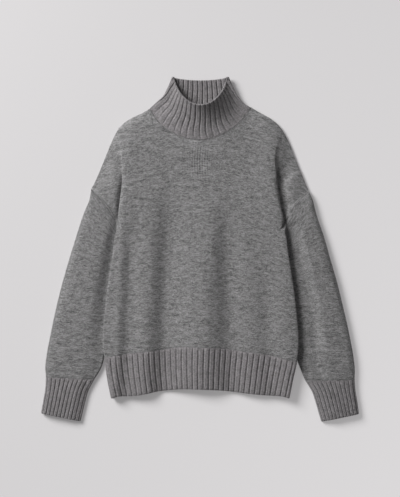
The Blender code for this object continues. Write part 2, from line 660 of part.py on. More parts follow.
def neck_heights(across):
    """Height of the front at its neckline, never under what the collar's fold needs."""
    u = SIDE_FLAP + (1 - 2 * SIDE_FLAP) * mix(NECK_START, 1 - NECK_START, across)
    height = front_surface(u, np.ones(u.shape))[:, 2]
    return np.maximum(height, 2 * FOLD_RADIUS)


def make_collar():
    ups = rows_of(COLLAR_SEAM, 1.0, 5)
    count = COLLAR_RIBS * SAMPLES_PER_RIB
    share = np.arange(count) / count
    rings = []
    for up in ups:
        ring = collar_ring(up)
        at = share * (len(ring) - 1)
        whole = np.arange(len(ring))
        rings.append(np.column_stack([np.interp(at, whole, ring[:, axis]) for axis in range(3)]))
    base = np.array(rings)
    around = np.roll(base, -1, axis=1) - np.roll(base, 1, axis=1)
    upward = np.gradient(base, axis=0)
    normals = np.cross(around, upward)
    normals /= np.linalg.norm(normals, axis=-1, keepdims=True)
    ribs = rib_heights(count)[None, :, None]
    facing_up = np.clip(normals[..., 2:] * 3, 0, 1)
    facing_down = np.clip(-normals[..., 2:] * 3, 0, 1)
    outer = base + normals * ribs * facing_up
    outer[..., 2] = np.maximum(outer[..., 2], 0)
    inner = base - normals * RIB_WALL - normals * ribs * facing_down
    return wall("collar", outer, inner, RIB_CLOTH, tube=True)


# ---------------------------------------------------------------- the sweater


def clear_scene():
    for thing in list(bpy.data.objects):
        bpy.data.objects.remove(thing, do_unlink=True)
    collection = bpy.data.collections.new(COLLECTION)
    bpy.context.scene.collection.children.link(collection)


def main():
    clear_scene()
    make_front()
    make_back()
    make_front_hem()
    make_back_hem()
    make_sleeve("sleeve_right", RIGHT_SIDE, RIGHT_SLEEVE, -1)
    make_sleeve("sleeve_left", LEFT_SIDE, LEFT_SLEEVE, 1)
    make_cuff("cuff_right", RIGHT_CUFF, -1)
    make_cuff("cuff_left", LEFT_CUFF, 1)
    make_collar()


main()
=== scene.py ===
"""Turtleneck sweater in heavy heather wool, laid flat with its front up.

Run as a script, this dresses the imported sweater: each cut and sewn piece gets a thin
cloth wall on its solid's form, with ribs, folds, linked seams, loose fibres and yarn
finishes. +X is the wearer's left, +Y points to the neck, +Z is up. Plan tables and
small sizes are in millimetres, and MM turns them into metres.
"""

from collections import namedtuple

import bpy
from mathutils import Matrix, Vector
import numpy as np


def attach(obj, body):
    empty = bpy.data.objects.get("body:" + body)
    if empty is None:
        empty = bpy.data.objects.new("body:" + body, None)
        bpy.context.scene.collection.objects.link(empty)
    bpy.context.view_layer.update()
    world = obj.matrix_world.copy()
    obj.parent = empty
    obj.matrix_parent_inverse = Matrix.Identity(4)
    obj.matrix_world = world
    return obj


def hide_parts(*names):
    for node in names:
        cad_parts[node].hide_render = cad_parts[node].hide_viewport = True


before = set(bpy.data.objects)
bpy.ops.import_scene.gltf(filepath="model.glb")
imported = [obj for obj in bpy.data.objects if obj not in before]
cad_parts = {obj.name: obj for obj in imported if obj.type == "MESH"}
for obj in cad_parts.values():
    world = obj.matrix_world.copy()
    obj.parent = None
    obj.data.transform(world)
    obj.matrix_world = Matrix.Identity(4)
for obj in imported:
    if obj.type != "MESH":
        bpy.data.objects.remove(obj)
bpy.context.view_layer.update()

bl_info = {
    "name": "Turtleneck Sweater",
    "version": (1, 0, 0),
    "blender": (4, 5, 0),
    "location": "3D View > Sidebar > Sweater",
    "description": "Dresses a flat-laid turtleneck sweater piece by piece",
    "category": "Object",
}

MM = 0.001
TINY = 1e-9

# Cloth
FLOOR = 3.3  # lowest that the front's inner side lies, on the back
RIM = 4.1  # outer edge of the front, where it turns down to the back
EDGE_ROUND = 1.5  # radius of a free edge
SEAM_ROUND = 0.5  # radius of an edge that is sewn to the next piece
SEAM_OPENING = 0.5
EDGE_THINNEST = 0.15  # share of the cloth's thickness that is left at a rounded edge

# Body. A row is a share of the front's length, from 0 at the hem seam to 1 at the neck, and
# runs below 0 down the hem band.
BODY_LENGTH = 530.0  # about, to share out rows
BODY_WIDTH = 480.0  # about, to share out columns
LOFT = 17.0
SHOULDER_ROLL = 60.0
SHOULDER_BOW = 4.5  # how far the shoulder line bows out between its corner and the neck
CORNER_BOW = 1.2  # the same between the corner and the sewn edge
SIDE_FLAP = 0.18  # share of a row's columns that lie beyond each crest
HEM_FOOT = -0.17
UNDERARM = 0.58
SHOULDER_TIP = 0.73
NECK_START = 0.19
NECK_RIGHT = (-117.0, 313.7)
NECK_LEFT = (117.0, 318.2)
FRONT_NECK_DROP = 71.0
BACK_NECK_DROP = 22.5
NECK_HELD = 1.04  # how much narrower the neckline is than the folded collar
NECK_LIFT = 22.0  # reach over which the front rises to meet the collar's folds
NECK_ROUND = 0.78
SIDE_ROLL = 0.55
SIDE_FULLNESS = 3.0  # how square a closed side is, from 2 for a quarter circle
SIDE_OVERHANG = 0.4  # how far a closed side swells out, as a share of its flap
HEM_OVERHANG = 0.3  # share of that swelling which the hem band keeps
SWELLING_ROWS = (-0.03, 0.08)  # rows over which the sides gain the rest of it
SWELLING_LOW = 0.7  # how low it is widest, from 1 for half way down
COURSE_BOW = 0.0006  # how much the body's courses bow down, for each square millimetre

# Creases beside the crests, from underarm to shoulder
CREST_OVERHANG = 9.0  # how far a crest leans over the crease beside it
FULL_CREASE = 9.0  # depth of a crease that has the whole overhang
LEAN_START, LEAN_REACH = 1.2, 4.5  # where the leaning starts and ends, past the crest
CREASE_WALL = 3.0  # run over which a crease drops
CREASE_PEAK = 1.1  # makes up for what the easing takes off
CREASE_SHARE = 0.7  # most of the flap that a crease takes up
CREASE_GAIN = 1.5  # how much deeper the cloth creases than its solid does
CREASE_FLOOR = 6.6  # lowest that a crease lies
RIGHT_CREASE_REACH = 12.5  # width of an underarm crease
LEFT_CREASE_REACH = 29.0
CREASE_SHARPNESS = 4  # how flat the left crease's bottom is, from 2 for a round one
CREASE_SOFTENING = 2.2  # how much wider a crease starts at its top
CREASE_TOP = (0.76, 0.9)  # rows over which it widens
TUCKED_AT = 0.59  # row where the cloth is tucked in deepest, just over the underarm
TUCKED_REACH = 0.035
TUCKED_OPENING = 1.5  # how much more a flap opens there
TUCKED_DEPTH = 6.0  # how much deeper the crease is there
TUCKED_OVERHANG = 4.0  # how much farther the left crest leans over it
CREASE_FOOT = (0.585, 0.615)  # rows where the left crease opens out to the edge
CREASE_END = (0.562, 0.58)  # rows where the left crease closes
LAID_REACH, LAID_CURVE = 0.6, 1.5  # how the cloth comes down to the armhole over the flap
ARMHOLE_RIDGE = 1.2  # how far the front stands up at its armhole edge
ARMHOLE_RIDGE_REACH = 3.0

# Ribs, seams, fibres and yarn
RIB_STEPS = 16  # points across a rib
HEM_RIB_GAIN = 1.15
RIB_START = 6.0  # run over which ribs rise from a seam
CROWN_HEIGHT, CROWN_ROUND = 0.36, 0.24  # shape of a rib, as shares of its height
VALLEY_DEPTH, VALLEY_WIDTH = 0.92, 0.22
DIP_DEPTH, DIP_WIDTH = 0.08, 0.2
BACK_CROWN, BACK_WIDTH, BACK_LEVEL = 0.35, 0.2, 0.25  # the same on its inner side
HEM_BACK_RIBS = 0.5  # how deep the back hem's ribs are, as a share of the front's
BOUND_HEIGHT = 1.1  # how far the bound rim of the collar stands out
BOUND_REACH = 3.0
CHAIN_BEAD = 2.7  # length of one linked stitch
CHAIN_STEPS = 6  # rings to a stitch
CHAIN_SIDES = 8
CHAIN_SUNK = 0.6  # share of its radius that a linked seam lies in the cloth
CHAIN_WAIST = 0.6  # how thin a linked seam is between its beads, as a share
NECK_SAMPLES, HEM_SAMPLES, ARMHOLE_SAMPLES, CUFF_SAMPLES = 200, 400, 120, 200
HEM_SEAM_INSET = 0.004  # how far the hem's seam stops short of the sides, in columns' share
CUFF_SEAM_ROUND = 0.4  # share of each fold that a cuff's seam goes round
EDGE_SEAM_SUNK = 0.3  # how far the neck and armhole seams lie in the cloth
ARMHOLE_SEAM = 0.8  # how thick an armhole seam is, as a share of the others
RIGHT_SEAM_OUT = 1.2  # how far an armhole seam lies beyond the front's edge
LEFT_SEAM_OUT = 1.6
SEAM_DOWN = 0.8  # how far it lies towards the hem, as a share of that
FIBRE_FACING = 0.2  # fibres stand where the cloth faces up at least this much
FIBRE_TURN = 0.5  # spread of the fibres' headings about the courses, in radians
FIBRE_LIFT = (4.0, 34.0)  # how far fibres stand off the cloth, in degrees
FIBRE_DEPTH = 1.6  # height of a fibre's root, as a share of its radius
FIBRE_SPREAD = (0.5, 1.3)  # shortest and longest fibre, as shares of the set length
FIBRES = {  # share of the loose fibres that one piece of a kind has, and a seed for them
    "front": (3 / 8, 11),
    "sleeve": (1 / 6, 23),
    "cuff": (1 / 24, 37),
    "hem": (1 / 12, 41),
    "collar": (1 / 12, 53),
}
WANDER_SIZE = 16.0  # how far apart the yarn's streaks turn, and how far they wander
WANDER_AMOUNT = 8.0
STREAK_SHARE, BROAD_SHARE, FLECK_SHARE = 0.42, 0.22, 0.36  # what makes up the yarn's shade
BROAD_LENGTH, BROAD_WIDTH = 3.0, 3.6  # size of the broad streaks, in fine streaks
HEATHER_CONTRAST = 4.0
STITCH_WANDER = 0.7  # how far columns of stitches stray, in columns
STITCH_SLANT = 0.6  # how far a stitch's legs slant, in courses
STITCH_WAVE = 0.3  # how much of a stitch's height its course makes
WALE_PAIR = 5.4  # width of two columns of stitches
WALES_AT = 0.198  # where columns of stitches show, in metres up from the middle
WALES_WIDTH = 0.026
WALES_HEIGHT = 0.036

# Sleeves and cuffs
SLEEVE_LENGTH = 430.0  # about, to share out rings
RIB_LENGTH = 90.0  # the same for a cuff or the collar
FOLD_RADIUS = 4.5
FOLD_TURN = 0.46  # share of a tube's turn that is its upper side, and the same for its lower
FOLD_UPRIGHT = 0.4  # how upright the lower half of a fold stands, from 1 for a half circle
FLATNESS, FLAT_CURVE = 6, 0.8  # how square a flattened tube's section is
OUTER_FULLNESS = 0.5
TUCK = 0.3  # share of its width over which a sleeve comes down to its inner fold
PRESSED_TUCK = 0.55  # the same where the body presses on it
PRESSED_SHARE = 0.5  # share of the tuck that is pressed flat beside the body
PRESSED_DEPTH = 2.8
TUCK_CURVE = (1.2, 2.0)  # how gently the tuck starts, free and pressed
PRESSED_START = 0.12  # place along the sleeve where the body has its whole press
ARMHOLE_CLEAR = 0.6
ARMHOLE_FADE = 0.22
CUFF_SEAM = 0.006
CUFF_UNDER_RIBS = 0.6  # how deep the ribs are under a cuff, as a share of those above

# Collar
COLLAR_RIM_HEIGHT = 55.0
COLLAR_SEAM = 0.012
COLLAR_RISE = 1.65
COLLAR_RIM_ROUND = 0.65
COLLAR_RIBS = (0.45, 1.1)  # how deep the ribs are at the seam, and from half way up
RIM_ROUND = 0.62  # how square the rim's front hangs, from 1 for a parabola
CORNER_LEVEL = 0.3  # how far the rim's corners point up rather than aside
TURN_SHARPNESS = 12
BACK_SHARPNESS = 4
RING_SAMPLES = 400
FOLD_SAMPLES = 24

# How finely the pieces are meshed
FRONT_ROWS, FRONT_COLUMNS, FLAP_COLUMNS = 220, 126, 40
BACK_ROWS, BACK_COLUMNS = 150, 110
HEM_ROWS = 22
SLEEVE_ROWS, SLEEVE_UPPER, SLEEVE_LOWER = 170, 72, 50
CUFF_ROWS = 26
FOLD_STEPS = 9  # points round the fold of a sleeve or cuff
COLLAR_ROWS = 52

# Stage, in metres and degrees
FLOOR_REACH = 3.0
FLOOR_DROP = 0.0003  # how far the floor lies under the sweater
LIGHT_SIZE = 1.9
LIGHT_POWER = 197.0
LIGHT_ELEVATION = 34.0
LIGHT_TURN = 38.0  # from the garment's right side towards its neck
LIGHT_DISTANCE = 3.8
ROOM_LIGHT = 0.2
# painted light: the floor's own glow, which lightens the shadows cast on it
FLOOR_GLOW = 0.16
FLOOR_RAMP = 0.235  # glow gained per metre away from the light
LENS = 120.0
CAMERA_PLACE = (0.0, 0.002, 3.008)


# ---------------------------------------------------------------- plan tables


# The sides row by row: the crest where the front turns down, its sewn edge, how far the flap
# between them is open, and how deep the crease beside the crest is.
SideRow = namedtuple("SideRow", "row crest_x crest_y edge_x edge_y open_flap crease")
RIGHT_SIDE = (
    SideRow(HEM_FOOT, -184.0, -330.5, -199.0, -335.0, 0.0, 0.0),
    SideRow(HEM_FOOT / 2, -193.0, -287.5, -208.0, -289.5, 0.0, 0.0),
    SideRow(0.0, -199.0, -240.0, -214.0, -242.0, 0.0, 0.0),
    SideRow(0.25, -192.5, -111.5, -207.5, -111.5, 0.0, 0.0),
    SideRow(0.51, -175.5, 21.0, -189.5, 21.0, 0.0, 0.0),
    SideRow(0.58, -175.0, 57.0, -187.0, 57.0, 0.2, 3.0),
    SideRow(0.62, -175.0, 77.0, -199.0, 83.0, 0.7, 7.0),
    SideRow(0.67, -172.5, 102.0, -218.0, 110.0, 1.0, 9.5),
    SideRow(0.73, -169.0, 133.5, -243.5, 138.0, 1.0, 9.0),
    SideRow(0.755, -168.0, 145.5, -239.2, 147.0, 1.0, 8.5),
    SideRow(0.80, -167.5, 168.0, -231.8, 163.0, 1.0, 7.0),
    SideRow(0.88, -171.5, 209.0, -218.5, 194.5, 1.0, 3.0),
    SideRow(1.0, -183.0, 273.0, -203.0, 232.5, 1.0, 1.0),
)
LEFT_SIDE = (
    SideRow(HEM_FOOT, 185.0, -330.0, 200.0, -334.5, 0.0, 0.0),
    SideRow(HEM_FOOT / 2, 193.5, -289.5, 208.5, -291.5, 0.0, 0.0),
    SideRow(0.0, 202.0, -248.5, 217.0, -251.0, 0.0, 0.0),
    SideRow(0.08, 203.0, -209.0, 218.0, -209.0, 0.0, 0.0),
    SideRow(0.25, 195.0, -111.5, 210.0, -111.5, 0.0, 0.0),
    SideRow(0.51, 177.0, 21.0, 191.5, 21.0, 0.0, 0.0),
    SideRow(0.58, 177.0, 51.0, 190.5, 51.0, 0.2, 4.0),
    SideRow(0.62, 176.0, 77.0, 202.0, 82.5, 0.7, 8.0),
    SideRow(0.67, 172.5, 102.0, 220.5, 109.0, 1.0, 10.5),
    SideRow(0.73, 168.0, 133.5, 243.5, 132.5, 1.0, 10.0),
    SideRow(0.755, 166.5, 145.5, 238.5, 146.0, 1.0, 9.7),
    SideRow(0.80, 164.5, 168.0, 231.0, 165.0, 1.0, 8.5),
    SideRow(0.88, 164.0, 209.0, 218.0, 196.5, 1.0, 3.5),
    SideRow(1.0, 182.5, 273.0, 204.0, 232.5, 1.0, 1.0),
)

# The hem's seam line and its foot, from the wearer's right to left.
HemPoint = namedtuple("HemPoint", "across line_y foot_y")
HEM = (
    HemPoint(0.0, -240.0, -330.5),
    HemPoint(0.1, -233.5, -329.0),
    HemPoint(0.25, -226.5, -319.5),
    HemPoint(0.4, -218.5, -314.0),
    HemPoint(0.5, -219.5, -314.5),
    HemPoint(0.62, -222.0, -317.0),
    HemPoint(0.76, -230.0, -323.0),
    HemPoint(0.9, -238.0, -328.0),
    HemPoint(1.0, -248.5, -330.0),
)

# Soft folds of the front and the sleeves, each along a line from its foot to its head. Right and
# left are how far it spreads on its two sides. It fades out towards its head.
FADE_START, FADE_RUN = 0.75, 0.3
Fold = namedtuple("Fold", "foot_x foot_y head_x head_y right left height")
FOLDS = (
    Fold(-84.0, -330.0, -68.0, 90.0, 23.0, 36.0, -11.0),
    Fold(72.0, -330.0, 62.0, 60.0, 25.0, 30.0, -8.5),
    Fold(4.0, -330.0, 24.0, 60.0, 36.0, 26.0, 6.0),
    Fold(-122.0, -330.0, -110.0, 80.0, 22.0, 16.0, 2.5),
    Fold(-170.0, -330.0, -152.0, 60.0, 14.0, 20.0, -4.5),
    Fold(160.0, -330.0, 150.0, -60.0, 22.0, 26.0, -4.5),
    Fold(206.0, -330.0, 184.0, 70.0, 34.0, 28.0, 6.0),
    Fold(-190.0, -330.0, -174.0, 70.0, 12.0, 16.0, 3.0),
    Fold(-228.0, -150.0, -208.0, 20.0, 12.0, 12.0, -3.0),
    Fold(264.0, -250.0, 252.0, -80.0, 14.0, 14.0, -3.0),
    Fold(0.0, 240.0, 0.0, 205.0, 70.0, 70.0, 4.0),
    Fold(-160.0, 200.0, -158.0, 50.0, 30.0, 20.0, 3.5),
    Fold(162.0, 200.0, 160.0, 50.0, 20.0, 30.0, 3.5),
)

# A sleeve section by section. Its inner fold lies beside the body's edge, and then parts from it.
SleeveRow = namedtuple("SleeveRow", "along outer_x outer_y beside apart_x apart_y height")
RIGHT_SLEEVE = (
    SleeveRow(0.0, -244.0, 137.2, 0.58, -0.7, 0.0, 13.0),
    SleeveRow(0.06, -249.0, 111.0, 0.55, -0.9, 0.0, 15.0),
    SleeveRow(0.13, -260.5, 84.0, 0.53, -1.0, 0.0, 17.0),
    SleeveRow(0.25, -278.5, 30.0, 0.485, -1.0, 0.0, 19.0),
    SleeveRow(0.38, -295.0, -24.0, 0.405, -0.8, 0.0, 20.0),
    SleeveRow(0.51, -310.5, -78.0, 0.315, -0.8, 0.0, 20.0),
    SleeveRow(0.63, -324.0, -132.0, 0.22, -0.8, 0.0, 19.0),
    SleeveRow(0.76, -335.5, -186.0, 0.115, -0.8, 0.0, 18.0),
    SleeveRow(0.88, -345.0, -236.0, 0.005, -0.9, 0.0, 17.0),
    SleeveRow(0.95, -348.5, -266.0, -0.034, -12.0, -9.0, 15.5),
    SleeveRow(1.0, -347.0, -287.0, -0.06, -27.0, -16.0, 14.0),
)
LEFT_SLEEVE = (
    SleeveRow(0.0, 244.2, 131.5, 0.58, 0.9, 0.0, 13.5),
    SleeveRow(0.06, 253.5, 111.0, 0.545, 1.2, 0.0, 15.5),
    SleeveRow(0.13, 261.0, 82.0, 0.52, 1.3, 0.0, 17.5),
    SleeveRow(0.25, 278.5, 30.0, 0.465, 1.2, 0.0, 19.5),
    SleeveRow(0.38, 294.0, -24.0, 0.39, 1.0, 0.0, 20.5),
    SleeveRow(0.51, 309.5, -78.0, 0.305, 0.8, 0.0, 20.5),
    SleeveRow(0.63, 322.7, -132.0, 0.21, 0.8, 0.0, 20.0),
    SleeveRow(0.76, 335.0, -186.0, 0.115, 0.8, 0.0, 19.0),
    SleeveRow(0.88, 345.5, -242.0, 0.01, 0.9, 0.0, 18.0),
    SleeveRow(0.95, 348.5, -270.0, -0.034, 13.0, -4.0, 16.5),
    SleeveRow(1.0, 348.0, -292.5, -0.06, 25.7, -16.1, 15.5),
)

# A cuff section by section, from its seam to its free edge.
CuffRow = namedtuple("CuffRow", "along outer_x outer_y inner_x inner_y height")
RIGHT_CUFF = (
    CuffRow(0.0, -347.0, -287.0, -237.5, -292.0, 14.0),
    CuffRow(0.33, -348.5, -313.5, -251.0, -317.5, 14.5),
    CuffRow(0.66, -353.5, -343.5, -258.0, -341.0, 14.5),
    CuffRow(1.0, -358.0, -368.5, -269.0, -387.0, 14.5),
)
LEFT_CUFF = (
    CuffRow(0.0, 348.0, -292.5, 237.5, -296.0, 15.5),
    CuffRow(0.33, 350.0, -318.5, 252.0, -320.0, 15.5),
    CuffRow(0.66, 354.0, -341.5, 259.5, -342.0, 15.0),
    CuffRow(1.0, 358.0, -370.0, 273.0, -388.0, 15.0),
)

# The collar ring by ring: its two folds, its middles front and back, and how high each lies.
CollarRing = namedtuple(
    "CollarRing", "up right_x right_y left_x left_y front_y back_y fold_z back_z"
)
COLLAR = (
    CollarRing(0.0, -117.0, 313.7, 117.0, 318.2, 245.2, 293.4, 4.6, 0.0),
    CollarRing(0.25, -99.5, 329.5, 98.0, 329.5, 267.5, 315.0, 6.0, 0.0),
    CollarRing(0.5, -82.5, 345.0, 84.0, 346.0, 289.0, 336.0, 8.0, 1.0),
    CollarRing(0.75, -71.5, 366.5, 74.5, 365.5, 306.0, 358.5, 10.0, 3.0),
    CollarRing(1.0, -62.0, 387.5, 63.5, 387.5, 320.5, 380.5, 12.0, 6.0),
)


# ---------------------------------------------------------------- settings


class SweaterSizes(bpy.types.PropertyGroup):
    """Sizes that a user would change"""

    jersey: bpy.props.FloatProperty(
        name="Jersey Thickness", description="Thickness of the plain knit", default=0.003,
        unit="LENGTH",
    )
    rib_wall: bpy.props.FloatProperty(
        name="Rib Thickness", description="Thickness of the ribbed knit", default=0.003,
        unit="LENGTH",
    )
    rib_height: bpy.props.FloatProperty(
        name="Rib Height", description="From a rib's valley to its crown", default=0.0022,
        unit="LENGTH",
    )
    hem_ribs: bpy.props.IntProperty(
        name="Hem Ribs", description="Ribs across the front of the hem", default=37
    )
    cuff_ribs: bpy.props.IntProperty(
        name="Cuff Ribs", description="Ribs across the upper side of a cuff", default=10
    )
    collar_ribs: bpy.props.IntProperty(
        name="Collar Ribs", description="Ribs all round the collar", default=34
    )
    wale: bpy.props.FloatProperty(
        name="Wale", description="Width of one column of stitches", default=0.0028,
        unit="LENGTH",
    )
    course: bpy.props.FloatProperty(
        name="Course", description="Height of one row of stitches", default=0.0022, unit="LENGTH"
    )
    seam_radius: bpy.props.FloatProperty(
        name="Seam Radius", description="Half the width of a linked seam", default=0.001,
        unit="LENGTH",
    )
    fibre_length: bpy.props.FloatProperty(
        name="Fibre Length", description="Length of a loose fibre", default=0.0045, unit="LENGTH"
    )
    fibre_radius: bpy.props.FloatProperty(
        name="Fibre Radius", description="Half the width of a fibre at its root", default=0.00009,
        unit="LENGTH",
    )
    fibres: bpy.props.IntProperty(
        name="Fibres", description="Loose fibres on the whole sweater", default=30000
    )


class SweaterColours(bpy.types.PropertyGroup):
    """Colours that a user would change"""

    jersey: bpy.props.FloatVectorProperty(
        name="Jersey", description="Mid grey of the plain knit", default=(0.222, 0.219, 0.220),
        subtype="COLOR", min=0, max=1,
    )
    rib: bpy.props.FloatVectorProperty(
        name="Rib", description="Mid grey of the ribbed knit", default=(0.232, 0.2195, 0.225),
        subtype="COLOR", min=0, max=1,
    )
    fibre: bpy.props.FloatVectorProperty(
        name="Fibre", description="Grey of the loose fibres", default=(0.3, 0.295, 0.297),
        subtype="COLOR", min=0, max=1,
    )
    floor: bpy.props.FloatVectorProperty(
        name="Floor", description="Pale grey of the floor", default=(0.56, 0.548, 0.553),
        subtype="COLOR", min=0, max=1,
    )


# ---------------------------------------------------------------- curves


def through(table, at, *columns):
    """Points of the smooth curve that passes through the named columns of a table."""
    knots = np.array([row[0] for row in table], float)
    at = np.clip(at, knots[0], knots[-1])
    i = np.clip(np.searchsorted(knots, at, side="right") - 1, 0, len(knots) - 2)
    span = knots[i + 1] - knots[i]
    t = (at - knots[i]) / span
    found = []
    for column in columns:
        values = np.array([getattr(row, column) for row in table], float)
        slopes = np.gradient(values, knots)
        start = (1 + 2 * t) * (1 - t) ** 2 * values[i] + t * (1 - t) ** 2 * span * slopes[i]
        end = t**2 * (3 - 2 * t) * values[i + 1] + t**2 * (t - 1) * span * slopes[i + 1]
        found.append(start + end)
    return found if len(found) > 1 else found[0]


def mix(a, b, share):
    return a + (b - a) * share


def smooth(low, high, value):
    share = np.clip((value - low) / (high - low), 0, 1)
    return share * share * (3 - 2 * share)


def quarter_round(share):
    """Rises from 0 to 1 like a quarter circle that starts upright."""
    return np.sqrt(1 - (1 - np.clip(share, 0, 1)) ** 2)


def surface_normals(surface, u, v, u_range, v_range):
    """Unit normals of a surface, from points a little to each side."""
    step = 1e-3

    def difference(du, dv):
        ahead = surface(np.clip(u + du, *u_range), np.clip(v + dv, *v_range))
        behind = surface(np.clip(u - du, *u_range), np.clip(v - dv, *v_range))
        return ahead - behind

    normals = np.cross(difference(step, 0), difference(0, step))
    return normals / np.linalg.norm(normals, axis=-1, keepdims=True)


def eased(start, stop, steps, first, last):
    """Even values from start to stop, with closer ones over the edges that are rounded."""
    inner = np.linspace(start, stop, steps + 1)
    inner = inner[(inner - start > 0.8 * first) & (stop - inner > 0.8 * last)]
    close = np.array([0.0, 0.12, 0.45])
    return np.sort(np.concatenate([start + close * first, inner, stop - close * last]))


# ---------------------------------------------------------------- walls


def edge_fullness(points, rounds, tube):
    """0 on a grid's open edges, rising to 1 where the wall has its whole thickness.

    rounds has the radius in millimetres of the first row, the last row and the side columns.
    """

    def run_along(axis):
        pad = [(0, 0), (0, 0)]
        pad[axis] = (1, 0)
        gap = np.linalg.norm(np.diff(points, axis=axis), axis=-1)
        run = np.cumsum(np.pad(gap, pad), axis=axis)
        return run, run.max(axis=axis, keepdims=True) - run

    after, before = run_along(0)
    share = np.minimum(after / rounds[0], before / rounds[1])
    if not tube:
        share = np.minimum(share, np.minimum(*run_along(1)) / rounds[2])
    return np.maximum(quarter_round(share), EDGE_THINNEST)


def cloth_coordinates(points):
    """Where each grid point lies in the flat cloth, across and along, in millimetres."""
    across = np.linalg.norm(np.diff(points, axis=1), axis=-1)
    across = np.pad(across, [(0, 0), (1, 0)]).cumsum(1)
    along = np.linalg.norm(np.diff(points, axis=0), axis=-1).mean(1)
    along = np.concatenate([[0], along.cumsum()])
    width = across[:, -1:].mean()
    across = across / across[:, -1:] * width
    return np.stack([across, np.broadcast_to(along[:, None], across.shape)], -1)


def body_cloth(points):
    """The same on the body, where courses bow down towards its sides and wales stand upright."""
    across = cloth_coordinates(points)[..., 0]
    across = across - across[:, across.shape[1] // 2, None]
    x, y = points[..., 0], points[..., 1]
    return np.stack([across, y + COURSE_BOW * x**2 * smooth(-300, 50, y)], -1)


def cloth_wall(
    name, base, normals, thickness, material, rounds, raised=0.0, sunk=0.0, tube=False, floor=None,
    place=cloth_coordinates,
):
    """A closed wall of cloth with rounded edges: raised on its outer side, sunk on its inner."""
    q = edge_fullness(base, rounds, tube)[..., None]
    half = thickness / 2
    outer = base - normals * half * (1 - q) + normals * np.asarray(raised)[..., None] * q
    inner = base - normals * half * (1 + q) + normals * np.asarray(sunk)[..., None] * q
    if floor is not None:
        outer, inner = floor(outer), floor(inner)
    return solid_wall(name, outer, inner, place(base), material, tube)


def solid_wall(name, outer, inner, flat, material, tube):
    """A closed mesh between two grids of points."""
    rows, columns = outer.shape[:2]
    inside = rows * columns
    strips = columns if tube else columns - 1
    i, j = np.meshgrid(np.arange(rows - 1), np.arange(strips), indexing="ij")
    k = (j + 1) % columns
    row, above = i * columns, (i + 1) * columns
    quads = np.stack([row + j, row + k, above + k, above + j], -1).reshape(-1, 4)
    faces = np.concatenate([quads, inside + quads[:, ::-1]])
    loop = np.arange(columns)
    far = loop + (rows - 1) * columns
    if tube:
        rims = [np.append(loop, 0), np.append(far, far[0])[::-1]]
    else:
        right = np.arange(rows) * columns + columns - 1
        left = np.arange(rows) * columns
        rims = [np.concatenate([loop, right[1:], far[::-1][1:], left[::-1][1:]])]
    for rim in rims:
        a, b = rim[:-1], rim[1:]
        faces = np.concatenate([faces, np.stack([b, a, inside + a, inside + b], -1)])
    points = np.concatenate([outer.reshape(-1, 3), inner.reshape(-1, 3)]) * MM
    cloth = np.concatenate([flat.reshape(-1, 2)] * 2)
    return make_piece(name, points, faces.tolist(), cloth, material)


def make_piece(name, points, faces, cloth, material):
    """A mesh object from arrays, with its place in the flat cloth on every point.

    The attribute "cloth" holds across, along and how much the columns of stitches show.
    """
    mesh = bpy.data.meshes.new(name)
    mesh.from_pydata(points.tolist(), [], list(faces))
    mesh.materials.append(material)
    mesh.shade_smooth()
    off_x, off_y = points[:, 0] / WALES_WIDTH, (points[:, 1] - WALES_AT) / WALES_HEIGHT
    values = np.column_stack([cloth, np.exp(-(off_x**2) - off_y**2)]).astype(np.float32)
    attribute = mesh.attributes.new("cloth", "FLOAT_VECTOR", "POINT")
    attribute.data.foreach_set("vector", values.ravel())
    piece = bpy.data.objects.new(name, mesh)
    bpy.context.scene.collection.objects.link(piece)
    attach(piece, "root")
    return piece


def seam_chain(name, path, radius, material):
    """A row of linked stitches: a closed tube along a path, narrow between its beads."""
    run = np.concatenate([[0], np.cumsum(np.linalg.norm(np.diff(path, axis=0), axis=1))])
    beads = round(run[-1] / CHAIN_BEAD)
    step = np.linspace(0, 1, beads * CHAIN_STEPS + 1)
    middle = np.column_stack([np.interp(step * run[-1], run, path[:, axis]) for axis in range(3)])
    ahead = np.gradient(middle, axis=0)
    ahead /= np.linalg.norm(ahead, axis=1, keepdims=True)
    beside = np.cross(ahead, [0.0, 0.0, 1.0])
    beside /= np.linalg.norm(beside, axis=1, keepdims=True)
    over = np.cross(beside, ahead)
    width = radius * mix(CHAIN_WAIST, 1.0, np.abs(np.sin(np.pi * step * beads)) ** 0.8)
    turn = np.arange(CHAIN_SIDES) / CHAIN_SIDES * 2 * np.pi
    ring = beside[:, None] * np.cos(turn)[:, None] + over[:, None] * np.sin(turn)[:, None]
    points = middle[:, None] + ring * width[:, None, None]
    i, j = np.meshgrid(np.arange(len(step) - 1), np.arange(CHAIN_SIDES), indexing="ij")
    k = (j + 1) % CHAIN_SIDES
    first = i * CHAIN_SIDES
    faces = np.stack([first + j, first + k, first + CHAIN_SIDES + k, first + CHAIN_SIDES + j], -1)
    last = (len(step) - 1) * CHAIN_SIDES
    ends = [list(range(CHAIN_SIDES))[::-1], list(range(last, last + CHAIN_SIDES))]
    flat = np.stack(np.broadcast_arrays(step[:, None] * run[-1], turn * radius), -1)
    faces = faces.reshape(-1, 4).tolist() + ends
    return make_piece(name, points.reshape(-1, 3) * MM, faces, flat.reshape(-1, 2), material)


# ---------------------------------------------------------------- ribs


def rib_wave(at, height):
    """Round crowns with a faint dip between their two wales, and narrow deep valleys."""
    away = np.abs(2 * np.mod(at, 1.0) - 1)
    valley = np.exp(-(((1 - away) / VALLEY_WIDTH) ** 2))
    dip = np.exp(-((away / DIP_WIDTH) ** 2))
    crown = CROWN_HEIGHT - CROWN_ROUND * away**2
    return height * (crown - VALLEY_DEPTH * valley - DIP_DEPTH * dip)


def rib_start(run):
    """How far ribs have risen, at a distance from the seam where they start."""
    return smooth(0.0, RIB_START, run)


